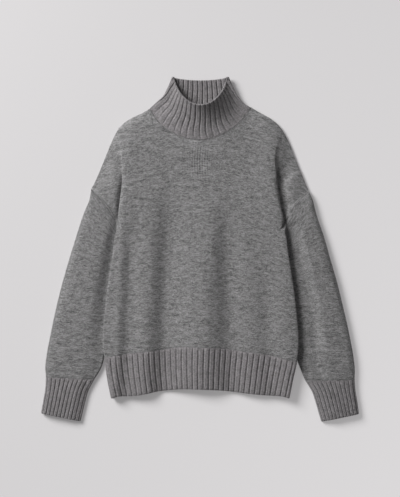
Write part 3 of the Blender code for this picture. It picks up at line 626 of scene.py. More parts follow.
def rib_back(at, height):
    """The same ribs seen from behind: a narrow crown behind each valley."""
    place = np.mod(at, 1.0)
    crown = np.exp(-((np.minimum(place, 1 - place) / BACK_WIDTH) ** 2))
    return height * (BACK_LEVEL - BACK_CROWN * crown)


# ---------------------------------------------------------------- body


def side_edge(side, row):
    """The sewn edge of the front and back on one side, in plan."""
    return np.stack(through(side, row, "edge_x", "edge_y"), -1)


def neckline(across, drop):
    """The neck edge of a body panel from the wearer's right to left, in plan."""
    turn = -np.cos(np.pi * across)
    x = mix(NECK_RIGHT[0], NECK_LEFT[0], (turn + 1) / 2)
    y = mix(NECK_RIGHT[1], NECK_LEFT[1], (turn + 1) / 2)
    held = np.clip(turn * NECK_HELD, -1, 1)
    return np.stack([x, y - drop * (1 - held**2) ** NECK_ROUND], -1)


def top_edge(across, drop):
    """Right shoulder, neckline and left shoulder, in plan."""
    right = np.stack(through(RIGHT_SIDE, 1.0, "crest_x", "crest_y"))
    left = np.stack(through(LEFT_SIDE, 1.0, "crest_x", "crest_y"))
    first = np.clip(across / NECK_START, 0, 1)[..., None]
    last = np.clip((across - 1 + NECK_START) / NECK_START, 0, 1)[..., None]
    middle = neckline(np.clip((across - NECK_START) / (1 - 2 * NECK_START), 0, 1), drop)
    right_bow = bow(right - NECK_RIGHT, (1 - first) ** 1.5, SHOULDER_BOW)
    left_bow = bow(left - NECK_LEFT, last**1.5, -SHOULDER_BOW)
    right_side = (right - NECK_RIGHT) * (1 - first) + right_bow
    left_side = (left - NECK_LEFT) * last + left_bow
    return middle + right_side + left_side


def bow(run, share, height):
    """Offset that bows a straight run out to its side, from 0 at each end."""
    beside = np.stack([run[..., 1], -run[..., 0]], -1)
    return beside / np.linalg.norm(run, axis=-1, keepdims=True) * height * np.sin(np.pi * share)


def body_plan(u, row, drop):
    """Plan of a body panel: u runs across from edge to edge, row from hem foot to neck."""
    right = np.stack(through(RIGHT_SIDE, row, "crest_x", "crest_y"), -1)
    left = np.stack(through(LEFT_SIDE, row, "crest_x", "crest_y"), -1)
    across = np.clip((u - SIDE_FLAP) / (1 - 2 * SIDE_FLAP), 0, 1)
    share = across[..., None]
    plan = mix(right, left, share)

    line_y, foot_y = through(HEM, across, "line_y", "foot_y")
    line_bend = line_y - mix(HEM[0].line_y, HEM[-1].line_y, across)
    foot_bend = foot_y - mix(HEM[0].foot_y, HEM[-1].foot_y, across)
    bend = mix(line_bend, foot_bend, np.clip(row / HEM_FOOT, 0, 1))
    plan[..., 1] += bend * (1 - np.clip(row, 0, 1)) ** 2

    corners = mix(top_edge(np.zeros(1), drop)[0], top_edge(np.ones(1), drop)[0], share)
    plan += (top_edge(across, drop) - corners) * (np.clip(row, 0, 1) ** 3)[..., None]

    for side, inward in ((RIGHT_SIDE, u / SIDE_FLAP), (LEFT_SIDE, (1 - u) / SIDE_FLAP)):
        crest = np.stack(through(side, row, "crest_x", "crest_y"), -1)
        in_flap = np.clip(inward, 0, 1)[..., None]
        to_edge = side_edge(side, row) - crest
        turned = -CORNER_BOW if side is LEFT_SIDE else CORNER_BOW
        rounded = bow(to_edge, 1 - in_flap, turned) * (np.clip(row, 0, 1) ** 8)[..., None]
        plan += to_edge * (1 - in_flap) + rounded
    return plan


def fold_height(x, y):
    """What the soft folds add to the height of the cloth at a place."""
    total = np.zeros(np.shape(x))
    for fold in FOLDS:
        run = np.array([fold.head_x - fold.foot_x, fold.head_y - fold.foot_y])
        length = np.hypot(*run)
        along = ((x - fold.foot_x) * run[0] + (y - fold.foot_y) * run[1]) / length**2
        off = ((x - fold.foot_x) * run[1] - (y - fold.foot_y) * run[0]) / length
        spread = np.where(off < 0, fold.right, fold.left)
        past = np.clip(along - FADE_START, 0, None) / FADE_RUN
        total += fold.height * np.exp(-((off / spread) ** 2) - past**2)
    return total


def shoulder_outline(side):
    """Edge of one shoulder in plan, from the armhole's tip past the corner to the neck."""
    along = np.linspace(0, 1, 24)
    edge = side_edge(side, mix(SHOULDER_TIP, 1.0, along))
    u = along * (SIDE_FLAP + (1 - 2 * SIDE_FLAP) * NECK_START)
    top = body_plan(u if side is RIGHT_SIDE else 1 - u, np.ones(along.size), FRONT_NECK_DROP)
    return np.concatenate([edge, top])


def shoulder_share(plan):
    """0 on a shoulder's edge, rising to 1 where the front is clear of its roll."""
    nearest = np.full(plan.shape[:-1], np.inf)
    for side in (RIGHT_SIDE, LEFT_SIDE):
        outline = shoulder_outline(side)
        for start, run in zip(outline, np.diff(outline, axis=0)):
            along = np.clip((plan - start) @ run / max(run @ run, TINY), 0, 1)
            off = plan - start - along[..., None] * run
            nearest = np.minimum(nearest, np.linalg.norm(off, axis=-1))
    return quarter_round(nearest / SHOULDER_ROLL)


def front_surface(u, row):
    """Outer side of the front and of its hem band."""
    plan = body_plan(u, row, FRONT_NECK_DROP)
    height = LOFT + fold_height(plan[..., 0], plan[..., 1])
    lean = np.zeros(plan.shape)
    for side, inward in ((RIGHT_SIDE, u / SIDE_FLAP), (LEFT_SIDE, (1 - u) / SIDE_FLAP)):
        left = side is LEFT_SIDE
        in_flap = np.clip(inward, 0, 1)
        crest = np.stack(through(side, row, "crest_x", "crest_y"), -1)
        to_edge = side_edge(side, row) - crest
        width = np.linalg.norm(to_edge, axis=-1)
        past_crest = (1 - in_flap) * width
        open_flap, crease = through(side, row, "open_flap", "crease")
        tucked = np.exp(-(((row - TUCKED_AT) / TUCKED_REACH) ** 2))
        opened = np.clip(open_flap * (1 + TUCKED_OPENING * tucked), 0, 1)
        if left:
            opened *= smooth(*CREASE_END, row)
        crease = crease + TUCKED_DEPTH * tucked

        beyond = 1 - np.clip(in_flap / SIDE_ROLL, 0, 1)
        rolled = RIM + (height - RIM) * (1 - beyond**SIDE_FULLNESS) ** (1 / SIDE_FULLNESS)
        armhole = np.clip((SHOULDER_TIP - row) / (SHOULDER_TIP - UNDERARM), 0, 1)
        edge_height = section_height(armhole, side_sleeve(side)[0].height)
        laid = mix(edge_height, height, np.clip(in_flap / LAID_REACH, 0, 1) ** LAID_CURVE)
        softness = 1 + CREASE_SOFTENING * smooth(*CREASE_TOP, row)
        depth = CREASE_GAIN * crease * crease_depth(past_crest / softness, width, side)
        if left:
            open_foot = 1 - smooth(*CREASE_FOOT, row)
            depth = np.maximum(depth, open_foot * crease_drop(past_crest) * LOFT)
        laid = np.maximum(laid - depth, np.minimum(laid, CREASE_FLOOR))
        laid += ARMHOLE_RIDGE * np.exp(-((in_flap * width / ARMHOLE_RIDGE_REACH) ** 2))
        height = mix(rolled, laid, opened * (in_flap < 1))

        over_side = SIDE_OVERHANG * width * np.sin(np.pi * (1 - beyond) ** SWELLING_LOW)
        over_side *= mix(HEM_OVERHANG, 1.0, smooth(*SWELLING_ROWS, row))
        leaning = 1 - np.exp(-((past_crest / LEAN_START) ** 2))
        over_crease = leaning * np.exp(-((past_crest / LEAN_REACH) ** 2))
        over_crease *= CREST_OVERHANG * np.clip(crease / FULL_CREASE, 0, 1)
        if left:
            over_crease += TUCKED_OVERHANG * tucked * (in_flap < 1)
        reach = mix(over_side, over_crease, opened)
        lean += to_edge / width[..., None] * (reach * (1 - np.clip(row, 0, 1) ** 8))[..., None]
    height = RIM + (height - RIM) * shoulder_share(plan)
    for corner in (NECK_RIGHT, NECK_LEFT):
        off = np.linalg.norm(plan - corner, axis=-1)
        height = np.maximum(height, 2 * FOLD_RADIUS * np.exp(-((off / NECK_LIFT) ** 2)))
    return np.concatenate([plan + lean, height[..., None]], -1)


def crease_drop(beside):
    """Rises from 0 at the crest to 1 where a crease has its whole depth."""
    return 1 - np.exp(-((beside / CREASE_WALL) ** 2))


def crease_depth(beside, width, side):
    """Share of an underarm crease's depth, at a distance beside the crest: steep, then easing."""
    left = side is LEFT_SIDE
    reach = LEFT_CREASE_REACH if left else RIGHT_CREASE_REACH
    reach = np.minimum(reach, CREASE_SHARE * width)
    easing = np.exp(-((beside / reach) ** (CREASE_SHARPNESS if left else 2)))
    return CREASE_PEAK * crease_drop(beside) * easing


def side_sleeve(side):
    return RIGHT_SLEEVE if side is RIGHT_SIDE else LEFT_SLEEVE


def above_back(points):
    points[..., 2] = np.maximum(points[..., 2], FLOOR)
    return points


def above_floor(points):
    points[..., 2] = np.maximum(points[..., 2], 0.0)
    return points


def seam_row():
    """The row of the hem's top, a seam opening below the front's lowest row."""
    step = 1e-4
    rate = (side_edge(RIGHT_SIDE, 0.0) - side_edge(RIGHT_SIDE, -step)) / step
    return -SEAM_OPENING / np.linalg.norm(rate)


def rib_columns(ribs):
    """Columns spaced evenly along the hem itself, folds down its sides included."""
    u = np.linspace(0, 1, 801)
    path = front_surface(u, np.full(u.shape, HEM_FOOT / 2))
    length = np.concatenate([[0], np.cumsum(np.linalg.norm(np.diff(path, axis=0), axis=-1))])
    return np.interp(ribs * length[-1], length, u)


def body_columns(middle, flap):
    """Columns of the front: close ones over each side's roll and crest, even ones between."""
    edge = (1 - np.cos(np.pi * np.arange(flap) / flap)) / 2 * SIDE_FLAP
    centre = np.linspace(SIDE_FLAP, 1 - SIDE_FLAP, middle + 1)
    return np.concatenate([edge, centre, 1 - edge[::-1]])


def front_grid(rows, columns):
    """Points and normals of the front's outer side."""
    row, u = np.meshgrid(rows, columns, indexing="ij")
    base = front_surface(u, row)
    return base, surface_normals(front_surface, u, row, (0, 1), (HEM_FOOT, 1))


def back_grid(rows, columns, thickness):
    """Points and normals of the back's upper side, flat over the floor."""
    row, u = np.meshgrid(rows, columns, indexing="ij")
    plan = body_plan(u, row, BACK_NECK_DROP)
    base = np.concatenate([plan, np.full(plan.shape[:-1] + (1,), thickness)], -1)
    return base, np.broadcast_to([0.0, 0.0, 1.0], base.shape)


def neck_columns(across):
    """Columns of the front at places across its neckline."""
    return SIDE_FLAP + (1 - 2 * SIDE_FLAP) * mix(NECK_START, 1 - NECK_START, across)


# ---------------------------------------------------------------- sleeves and cuffs


def section_height(across, height, pressed=0.0):
    """Height of a flattened tube's upper side, from its outer fold to its inner fold.

    pressed is how far its inner side is flattened by the body beside it, from 0 to 1.
    """
    across = np.clip(across, 0, 1)
    swell = (1 - np.abs(1 - 2 * across) ** FLATNESS) ** FLAT_CURVE
    swell = mix(np.where(across < 0.5, OUTER_FULLNESS, 0.0), 1.0, swell)
    tuck = mix(TUCK, PRESSED_TUCK, pressed)
    flat = PRESSED_SHARE * pressed
    clear = np.clip(((1 - across) / tuck - flat) / (1 - flat), 0, 1)
    clear = np.sin(np.pi / 2 * clear) ** mix(*TUCK_CURVE, pressed)
    base = 2 * FOLD_RADIUS - PRESSED_DEPTH * pressed * smooth(0.5, 1.0, across)
    return base + (height - base) * swell * clear


def tube_section(turn):
    """Where a turn lies on a flattened tube: share across it, and angle round its folds."""
    turn = np.mod(turn, 1.0)
    back = turn - 0.5
    fold = 0.5 - FOLD_TURN
    above, at_inner, below = turn < FOLD_TURN, turn < 0.5, back < FOLD_TURN
    across = np.select([above, at_inner, below], [turn / FOLD_TURN, 1.0, 1 - back / FOLD_TURN], 0.0)
    right_angle = np.pi / 2
    over = right_angle - np.pi * (turn - FOLD_TURN) / fold
    under = -right_angle - np.pi * (back - FOLD_TURN) / fold
    angle = np.select([above, at_inner, below], [right_angle, over, -right_angle], under)
    return across, angle


def sleeve_folds(side, table):
    """A sleeve's outer and inner folds in plan, and its height, at places along it."""

    def folds(along):
        x, y, beside, apart_x, apart_y, height = through(table, along, *SleeveRow._fields[1:])
        inner = side_edge(side, beside) + np.stack([apart_x, apart_y], -1)
        return np.stack([x, y], -1), inner, height

    return folds


def cuff_folds(table):
    """A cuff's outer and inner folds in plan, and its height, at places along it."""

    def folds(along):
        outer_x, outer_y, inner_x, inner_y, height = through(table, along, *CuffRow._fields[1:])
        return np.stack([outer_x, outer_y], -1), np.stack([inner_x, inner_y], -1), height

    return folds


def tube_surface(folds, armhole=None, pressed=0.0):
    """The outer side of a sleeve or cuff as a surface: turn round it, place along it."""

    def surface(turn, along):
        across, angle = tube_section(turn)
        outer, inner, height = folds(along)
        chord = inner - outer
        chord /= np.linalg.norm(chord, axis=-1, keepdims=True)
        start, stop = outer + chord * FOLD_RADIUS, inner - chord * FOLD_RADIUS
        out = np.cos(angle)
        out = np.sign(out) * np.abs(out) ** np.where(np.sin(angle) < 0, FOLD_UPRIGHT, 1.0)
        plan = mix(start, stop, across[..., None]) + chord * (FOLD_RADIUS * out)[..., None]
        if armhole is not None:
            reach = np.sum((plan - outer) * chord, -1) / np.sum((inner - outer) * chord, -1)
            fade = np.clip(1 - along / ARMHOLE_FADE, 0, 1) ** 2
            plan += armhole(np.clip(reach, 0, 1)) * fade[..., None]
        upper = (np.sin(angle) + 1) / 2
        top = section_height(across, height, pressed * smooth(0.0, PRESSED_START, along))
        top += fold_height(plan[..., 0], plan[..., 1]) * np.sin(np.pi * across) ** 2
        return np.concatenate([plan, (top * upper)[..., None]], -1)

    return surface


def armhole_bow(side):
    """How far the sewn edge of an armhole lies off the straight line between its ends."""

    def bow(share):
        row = mix(SHOULDER_TIP, UNDERARM, share)
        ends = side_edge(side, np.array([SHOULDER_TIP, UNDERARM]))
        off = side_edge(side, row) - mix(ends[0], ends[1], share[..., None])
        off[..., 0] += ARMHOLE_CLEAR * np.sign(ends[0][0])
        off[..., 1] -= ARMHOLE_CLEAR
        return off

    return bow


def tube_turns(upper, fold, lower):
    """Places round a tube: even on its upper and lower sides, closer round each fold."""
    bend = np.linspace(FOLD_TURN, 0.5, fold + 2)[1:-1]
    upper_side = np.linspace(0, FOLD_TURN, upper + 1)
    lower_side = np.linspace(0.5, 0.5 + FOLD_TURN, lower + 1)
    return np.concatenate([upper_side, bend, lower_side, bend + 0.5])


def within_section(surface, along, normals):
    """Normals turned into their cross-sections, longer so that a wall keeps its thickness."""
    chord = surface(np.full(along.shape, FOLD_TURN), along) - surface(np.zeros(along.shape), along)
    beside = np.stack([-chord[..., 1], chord[..., 0]], -1)
    beside /= np.linalg.norm(beside, axis=-1, keepdims=True)
    turned = normals.copy()
    turned[..., :2] -= np.sum(normals[..., :2] * beside, -1, keepdims=True) * beside
    return turned / np.sum(turned**2, -1, keepdims=True)


def tube_grid(surface, turns, alongs, flip):
    """Points and outward normals of a tube, wound so that its outer side faces out."""
    along, turn = np.meshgrid(alongs, turns, indexing="ij")
    base = surface(turn, along)
    normals = surface_normals(surface, turn, along, (-1, 2), (0, 1)) * flip
    normals = within_section(surface, along, normals)
    return base[:, ::flip], normals[:, ::flip]


# ---------------------------------------------------------------- collar


def collar_ring(up):
    """One ring of the collar's outer side as evenly spaced points.

    It runs from the middle of the back round the right fold, the front and the left fold.
    """
    rx, ry, lx, ly, front_y, back_y, fold_z, back_z = through(COLLAR, up, *CollarRing._fields[1:])
    middle = np.array([(rx + lx) / 2, (front_y + back_y) / 2])
    folds = []
    for tip in (np.array([rx, ry]), np.array([lx, ly])):
        outward = (tip - middle) * [1.0, CORNER_LEVEL]
        outward /= np.linalg.norm(outward)
        folds.append((tip - outward * FOLD_RADIUS, outward))
    (right, right_out), (left, left_out) = folds

    half = np.linspace(0, 1, RING_SAMPLES)
    turn = -np.cos(np.pi * half)
    bulge = (1 - turn**2) ** NECK_ROUND
    line = mix(right, left, ((turn + 1) / 2)[:, None])
    line_y = (right[1] + left[1]) / 2

    rim_bulge = (1 - turn**2) ** mix(NECK_ROUND, RIM_ROUND, up)
    front = np.column_stack([line[:, 0], line[:, 1] - (line_y - front_y) * rim_bulge])
    neck_height = neck_heights(half)
    rim_height = mix(fold_z + FOLD_RADIUS, COLLAR_RIM_HEIGHT, (1 - turn**2) ** COLLAR_RIM_ROUND)
    front_z = mix(neck_height, rim_height, up**COLLAR_RISE)
    front_z = mix(front_z, fold_z + FOLD_RADIUS, np.abs(turn) ** TURN_SHARPNESS)
    back = np.column_stack([line[:, 0], line[:, 1] - (line_y - back_y) * bulge])
    back_z = mix(back_z, fold_z - FOLD_RADIUS, np.abs(turn) ** BACK_SHARPNESS)

    angle = np.linspace(-np.pi / 2, np.pi / 2, FOLD_SAMPLES)[1:-1]
    aside, rise = np.cos(angle) * FOLD_RADIUS, np.sin(angle) * FOLD_RADIUS
    right_fold = np.column_stack([right + np.outer(aside, right_out), fold_z + rise])
    left_fold = np.column_stack([left + np.outer(aside, left_out), fold_z - rise])
    front = np.column_stack([front, front_z])
    back = np.column_stack([back, back_z])[::-1]
    half_back = RING_SAMPLES // 2
    ring = np.concatenate([back[half_back:], right_fold, front, left_fold, back[: half_back + 1]])
    length = np.concatenate([[0], np.cumsum(np.linalg.norm(np.diff(ring, axis=0), axis=1))])
    even = np.linspace(0, length[-1], 2 * RING_SAMPLES)
    return np.column_stack([np.interp(even, length, ring[:, axis]) for axis in range(3)])


def neck_heights(across):
    """Height of the front at its neckline, never under what the collar's fold needs."""
    u = neck_columns(across)
    height = front_surface(u, np.ones(u.shape))[:, 2]
    return np.maximum(height, 2 * FOLD_RADIUS)


def collar_grid(ups, count):
    """Points and outward normals of the collar ring by ring, and each point's share of a turn."""
    share = np.arange(count) / count
    rings = []
    for up in ups:
        ring = collar_ring(up)
        at = share * (len(ring) - 1)
        whole = np.arange(len(ring))
        rings.append(np.column_stack([np.interp(at, whole, ring[:, axis]) for axis in range(3)]))
    base = np.array(rings)
    around = np.roll(base, -2, axis=1) - np.roll(base, 2, axis=1)
    upward = np.gradient(base, ups, axis=0)
    normals = np.cross(around, upward)
    return base, normals / np.linalg.norm(normals, axis=-1, keepdims=True), share


# ---------------------------------------------------------------- materials


def new_tree_node(tree, kind, **values):
    node = tree.nodes.new(kind)
    for name, value in values.items():
        setattr(node, name, value)
    return node


def join(tree, source, target):
    tree.links.new(source, target)


def calculate(tree, operation, a, b=None, c=None):
    """One Math node: each input is a number or another node's output."""
    node = new_tree_node(tree, "ShaderNodeMath", operation=operation)
    for socket, value in zip(node.inputs, (a, b, c)):
        if value is None:
            continue
        if isinstance(value, (int, float)):
            socket.default_value = value
        else:
            join(tree, value, socket)
    return node.outputs[0]


def start_group(name, inputs, outputs):
    """An empty node group with float or vector inputs and outputs: (name, kind, default)."""
    group = bpy.data.node_groups.new(name, "ShaderNodeTree")
    for label, kind, value in inputs:
        socket = group.interface.new_socket(label, in_out="INPUT", socket_type=kind)
        if value is not None:
            socket.default_value = value
    for label, kind in outputs:
        group.interface.new_socket(label, in_out="OUTPUT", socket_type=kind)
    source = group.nodes.new("NodeGroupInput")
    sink = group.nodes.new("NodeGroupOutput")
    return group, source.outputs, sink.inputs


def stretched(tree, vector, size_x, size_y, seed):
    """Cloth coordinates divided by a size across and a size along."""
    parts = new_tree_node(tree, "ShaderNodeSeparateXYZ")
    join(tree, vector, parts.inputs[0])
    whole = new_tree_node(tree, "ShaderNodeCombineXYZ")
    join(tree, calculate(tree, "DIVIDE", parts.outputs[0], size_x), whole.inputs[0])
    join(tree, calculate(tree, "DIVIDE", parts.outputs[1], size_y), whole.inputs[1])
    whole.inputs[2].default_value = seed
    return whole.outputs[0]


def noise(tree, vector, detail, roughness, output="Fac"):
    node = new_tree_node(tree, "ShaderNodeTexNoise", noise_dimensions="3D")
    node.inputs["Scale"].default_value = 1.0
    node.inputs["Detail"].default_value = detail
    node.inputs["Roughness"].default_value = roughness
    join(tree, vector, node.inputs["Vector"])
    return node.outputs[output]


def wandering(tree, cloth):
    """Cloth coordinates that wander a little, as brushed yarn does."""
    place = stretched(tree, cloth, WANDER_SIZE, WANDER_SIZE, 6.1)
    shift = new_tree_node(tree, "ShaderNodeVectorMath", operation="SUBTRACT")
    join(tree, noise(tree, place, 1.0, 0.5, "Color"), shift.inputs[0])
    shift.inputs[1].default_value = (0.5, 0.5, 0.5)
    grown = new_tree_node(tree, "ShaderNodeVectorMath", operation="SCALE")
    join(tree, shift.outputs[0], grown.inputs[0])
    grown.inputs["Scale"].default_value = WANDER_AMOUNT
    total = new_tree_node(tree, "ShaderNodeVectorMath", operation="ADD")
    join(tree, cloth, total.inputs[0])
    join(tree, grown.outputs[0], total.inputs[1])
    return total.outputs[0]


def heather_group():
    """Streaks and flecks of the blended yarn, from 0 for dark fibre to 1 for pale."""
    if "heather" in bpy.data.node_groups:
        return bpy.data.node_groups["heather"]
    tree, given, wanted = start_group(
        "heather",
        [("Cloth", "NodeSocketVector", None), ("Streak Length", "NodeSocketFloat", 11.0),
         ("Streak Width", "NodeSocketFloat", 3.6), ("Fleck", "NodeSocketFloat", 2.0),
         ("Contrast", "NodeSocketFloat", 1.0), ("Wales", "NodeSocketFloat", 0.0)],
        [("Shade", "NodeSocketFloat")],
    )
    cloth = given["Cloth"]
    length, width, fleck = given["Streak Length"], given["Streak Width"], given["Fleck"]
    brushed = wandering(tree, cloth)
    streak = noise(tree, stretched(tree, brushed, length, width, 3.7), 2.0, 0.6)
    broad_x = calculate(tree, "MULTIPLY", length, BROAD_LENGTH)
    broad_y = calculate(tree, "MULTIPLY", width, BROAD_WIDTH)
    broad = noise(tree, stretched(tree, brushed, broad_x, broad_y, 9.1), 2.0, 0.5)
    fleck_height = calculate(tree, "MULTIPLY", fleck, 0.8)
    fine = noise(tree, stretched(tree, cloth, fleck, fleck_height, 5.3), 1.0, 0.5)
    total = calculate(tree, "MULTIPLY", streak, STREAK_SHARE)
    total = calculate(tree, "MULTIPLY_ADD", broad, BROAD_SHARE, total)
    total = calculate(tree, "MULTIPLY_ADD", fine, FLECK_SHARE, total)
    total = calculate(tree, "SUBTRACT", total, 0.5)
    total = calculate(tree, "MULTIPLY", total, given["Contrast"])

    parts = new_tree_node(tree, "ShaderNodeSeparateXYZ")
    join(tree, cloth, parts.inputs[0])
    column = calculate(tree, "MULTIPLY", parts.outputs[0], 2 * np.pi / WALE_PAIR)
    column = calculate(tree, "MULTIPLY", calculate(tree, "COSINE", column), given["Wales"])
    total = calculate(tree, "MULTIPLY_ADD", column, parts.outputs[2], total)
    total = calculate(tree, "ADD", total, 0.5)
    node = new_tree_node(tree, "ShaderNodeClamp")
    join(tree, total, node.inputs[0])
    join(tree, node.outputs[0], wanted["Shade"])
    return tree


def stitch_group():
    """Height of plain knitting: columns of two slanting legs to each stitch."""
    if "stitches" in bpy.data.node_groups:
        return bpy.data.node_groups["stitches"]
    tree, given, wanted = start_group(
        "stitches",
        [("Cloth", "NodeSocketVector", None), ("Wale", "NodeSocketFloat", 2.8),
         ("Course", "NodeSocketFloat", 2.2)],
        [("Height", "NodeSocketFloat")],
    )
    parts = new_tree_node(tree, "ShaderNodeSeparateXYZ")
    join(tree, given["Cloth"], parts.inputs[0])
    wander = noise(tree, stretched(tree, given["Cloth"], 14.0, 9.0, 1.3), 1.0, 0.5)
    column = calculate(tree, "DIVIDE", parts.outputs[0], given["Wale"])
    column = calculate(tree, "MULTIPLY_ADD", wander, STITCH_WANDER, column)
    place = calculate(tree, "SUBTRACT", calculate(tree, "FRACT", column), 0.5)
    away = calculate(tree, "MULTIPLY", calculate(tree, "ABSOLUTE", place), 2.0)
    leg = calculate(tree, "SINE", calculate(tree, "MULTIPLY", away, np.pi))
    line = calculate(tree, "DIVIDE", parts.outputs[1], given["Course"])
    line = calculate(tree, "MULTIPLY_ADD", away, STITCH_SLANT, line)
    wave = calculate(tree, "COSINE", calculate(tree, "MULTIPLY", line, 2 * np.pi))
    wave = calculate(tree, "MULTIPLY_ADD", wave, STITCH_WAVE, 1 - STITCH_WAVE)
    join(tree, calculate(tree, "MULTIPLY", leg, wave), wanted["Height"])
    return tree


def nap_group():
    """Height of the brushed nap."""
    if "nap" in bpy.data.node_groups:
        return bpy.data.node_groups["nap"]
    tree, given, wanted = start_group(
        "nap",
        [("Cloth", "NodeSocketVector", None), ("Length", "NodeSocketFloat", 4.0),
         ("Width", "NodeSocketFloat", 1.4)],
        [("Height", "NodeSocketFloat")],
    )
    place = stretched(tree, given["Cloth"], given["Length"], given["Width"], 2.2)
    join(tree, noise(tree, place, 3.0, 0.65), wanted["Height"])
    return tree


def use_group(tree, group, cloth, **values):
    node = new_tree_node(tree, "ShaderNodeGroup", node_tree=group)
    join(tree, cloth, node.inputs["Cloth"])
    for name, value in values.items():
        node.inputs[name.replace("_", " ")].default_value = value
    return node.outputs


def add_bump(tree, height, depth, below=None):
    """A Bump node over another's normal: height times depth in millimetres."""
    node = new_tree_node(tree, "ShaderNodeBump")
    node.inputs["Strength"].default_value = 1.0
    node.inputs["Distance"].default_value = depth * MM
    join(tree, height, node.inputs["Height"])
    if below is not None:
        join(tree, below, node.inputs["Normal"])
    return node.outputs["Normal"]


def start_material(name, roughness, specular):
    """A material and its Principled shader."""
    material = bpy.data.materials.new(name)
    material.use_nodes = True
    shader = material.node_tree.nodes["Principled BSDF"]
    shader.inputs["Roughness"].default_value = roughness
    shader.inputs["Specular IOR Level"].default_value = specular
    return material, shader


def wool(name, sizes, colour, spread, streak, wales, stitch_depth, nap_depth):
    """A heathered wool: yarn colour with streaks, stitch relief, brushed nap and a soft sheen.

    streak has the length and width of a streak and the size of a fleck, in millimetres.
    """
    if name in bpy.data.materials:
        return bpy.data.materials[name]
    material, shader = start_material(name, 0.95, 0.15)
    tree = material.node_tree
    shader.inputs["Sheen Weight"].default_value = 0.25
    shader.inputs["Sheen Roughness"].default_value = 0.5
    cloth = new_tree_node(tree, "ShaderNodeAttribute", attribute_name="cloth").outputs["Vector"]
    heather = use_group(
        tree, heather_group(), cloth, Streak_Length=streak[0], Streak_Width=streak[1],
        Fleck=streak[2], Contrast=HEATHER_CONTRAST, Wales=wales,
    )
    blend = new_tree_node(tree, "ShaderNodeMix", data_type="RGBA")
    join(tree, heather["Shade"], blend.inputs["Factor"])
    blend.inputs["A"].default_value = (*(c * (1 - spread) for c in colour), 1.0)
    blend.inputs["B"].default_value = (*(c * (1 + spread) for c in colour), 1.0)
    join(tree, blend.outputs["Result"], shader.inputs["Base Color"])

    stitches = use_group(
        tree, stitch_group(), cloth, Wale=sizes.wale / MM, Course=sizes.course / MM
    )
    nap = use_group(tree, nap_group(), cloth)
    knit = add_bump(tree, stitches["Height"], stitch_depth)
    brushed = add_bump(tree, nap["Height"], nap_depth, below=knit)
    join(tree, brushed, shader.inputs["Normal"])
    return material


def jersey_wool(context):
    scene = context.scene
    return wool("jersey_wool", scene.sweater_sizes, scene.sweater_colours.jersey, spread=0.66,
                streak=(7.4, 2.1, 2.0), wales=0.22, stitch_depth=0.5, nap_depth=0.9)


def rib_wool(context):
    scene = context.scene
    return wool("rib_wool", scene.sweater_sizes, scene.sweater_colours.rib, spread=0.4,
                streak=(3.0, 3.0, 2.2), wales=0.0, stitch_depth=0.6, nap_depth=0.6)


def fibre_wool(context):
    """Plain pale wool of the loose fibres."""
    if "fibre_wool" in bpy.data.materials:
        return bpy.data.materials["fibre_wool"]
    material, shader = start_material("fibre_wool", 0.9, 0.15)
    shader.inputs["Base Color"].default_value = (*context.scene.sweater_colours.fibre, 1.0)
    return material


def pale_floor(colour):
    """A matt floor with a painted glow: it glows a little everywhere, which lightens the shadows
    cast on it, and more where the softbox is farther, so it stays even.
    """
    material, shader = start_material("pale_floor", 0.9, 0.1)
    tree = material.node_tree
    shader.inputs["Base Color"].default_value = (*colour, 1.0)
    shader.inputs["Emission Color"].default_value = (*(c / max(colour) for c in colour), 1.0)
    place = new_tree_node(tree, "ShaderNodeNewGeometry").outputs["Position"]
    parts = new_tree_node(tree, "ShaderNodeSeparateXYZ")
    join(tree, place, parts.inputs[0])
    turn = np.radians(LIGHT_TURN)
    away = calculate(tree, "MULTIPLY", parts.outputs[0], np.cos(turn) * FLOOR_RAMP)
    away = calculate(tree, "MULTIPLY_ADD", parts.outputs[1], -np.sin(turn) * FLOOR_RAMP, away)
    away = calculate(tree, "MINIMUM", away, FLOOR_GLOW)
    # painted light: this glow lightens the floor's cast shadows and evens out the softbox's falloff
    join(tree, calculate(tree, "ADD", away, FLOOR_GLOW), shader.inputs["Emission Strength"])
    return material


# ---------------------------------------------------------------- seams and fibres


def neck_path():
    """Along the front's neckline, on top of the cloth."""
    across = np.linspace(0, 1, NECK_SAMPLES)
    u = neck_columns(across)
    path = front_surface(u, np.ones(u.shape))
    path[:, 2] = neck_heights(across)
    return path


def hem_path():
    """Between the front and its hem band."""
    u = np.linspace(HEM_SEAM_INSET, 1 - HEM_SEAM_INSET, HEM_SAMPLES)
    return front_surface(u, np.full(u.shape, seam_row() / 2))


def armhole_path(side):
    """Along the front's armhole edge, from under the arm to the shoulder."""
    row = np.linspace(UNDERARM, SHOULDER_TIP, ARMHOLE_SAMPLES)
    u = np.zeros(row.shape) if side is RIGHT_SIDE else np.ones(row.shape)
    return front_surface(u, row)


def cuff_path(table):
    """Between a sleeve and its cuff, over the upper side from fold to fold."""
    fold = 0.5 - FOLD_TURN
    over = CUFF_SEAM_ROUND * fold
    turn = np.linspace(-over, FOLD_TURN + over, CUFF_SAMPLES)
    return tube_surface(cuff_folds(table))(turn, np.full(turn.shape, CUFF_SEAM / 2))


def shifted(path, x, y, z):
    return path + np.array([x, y, z])


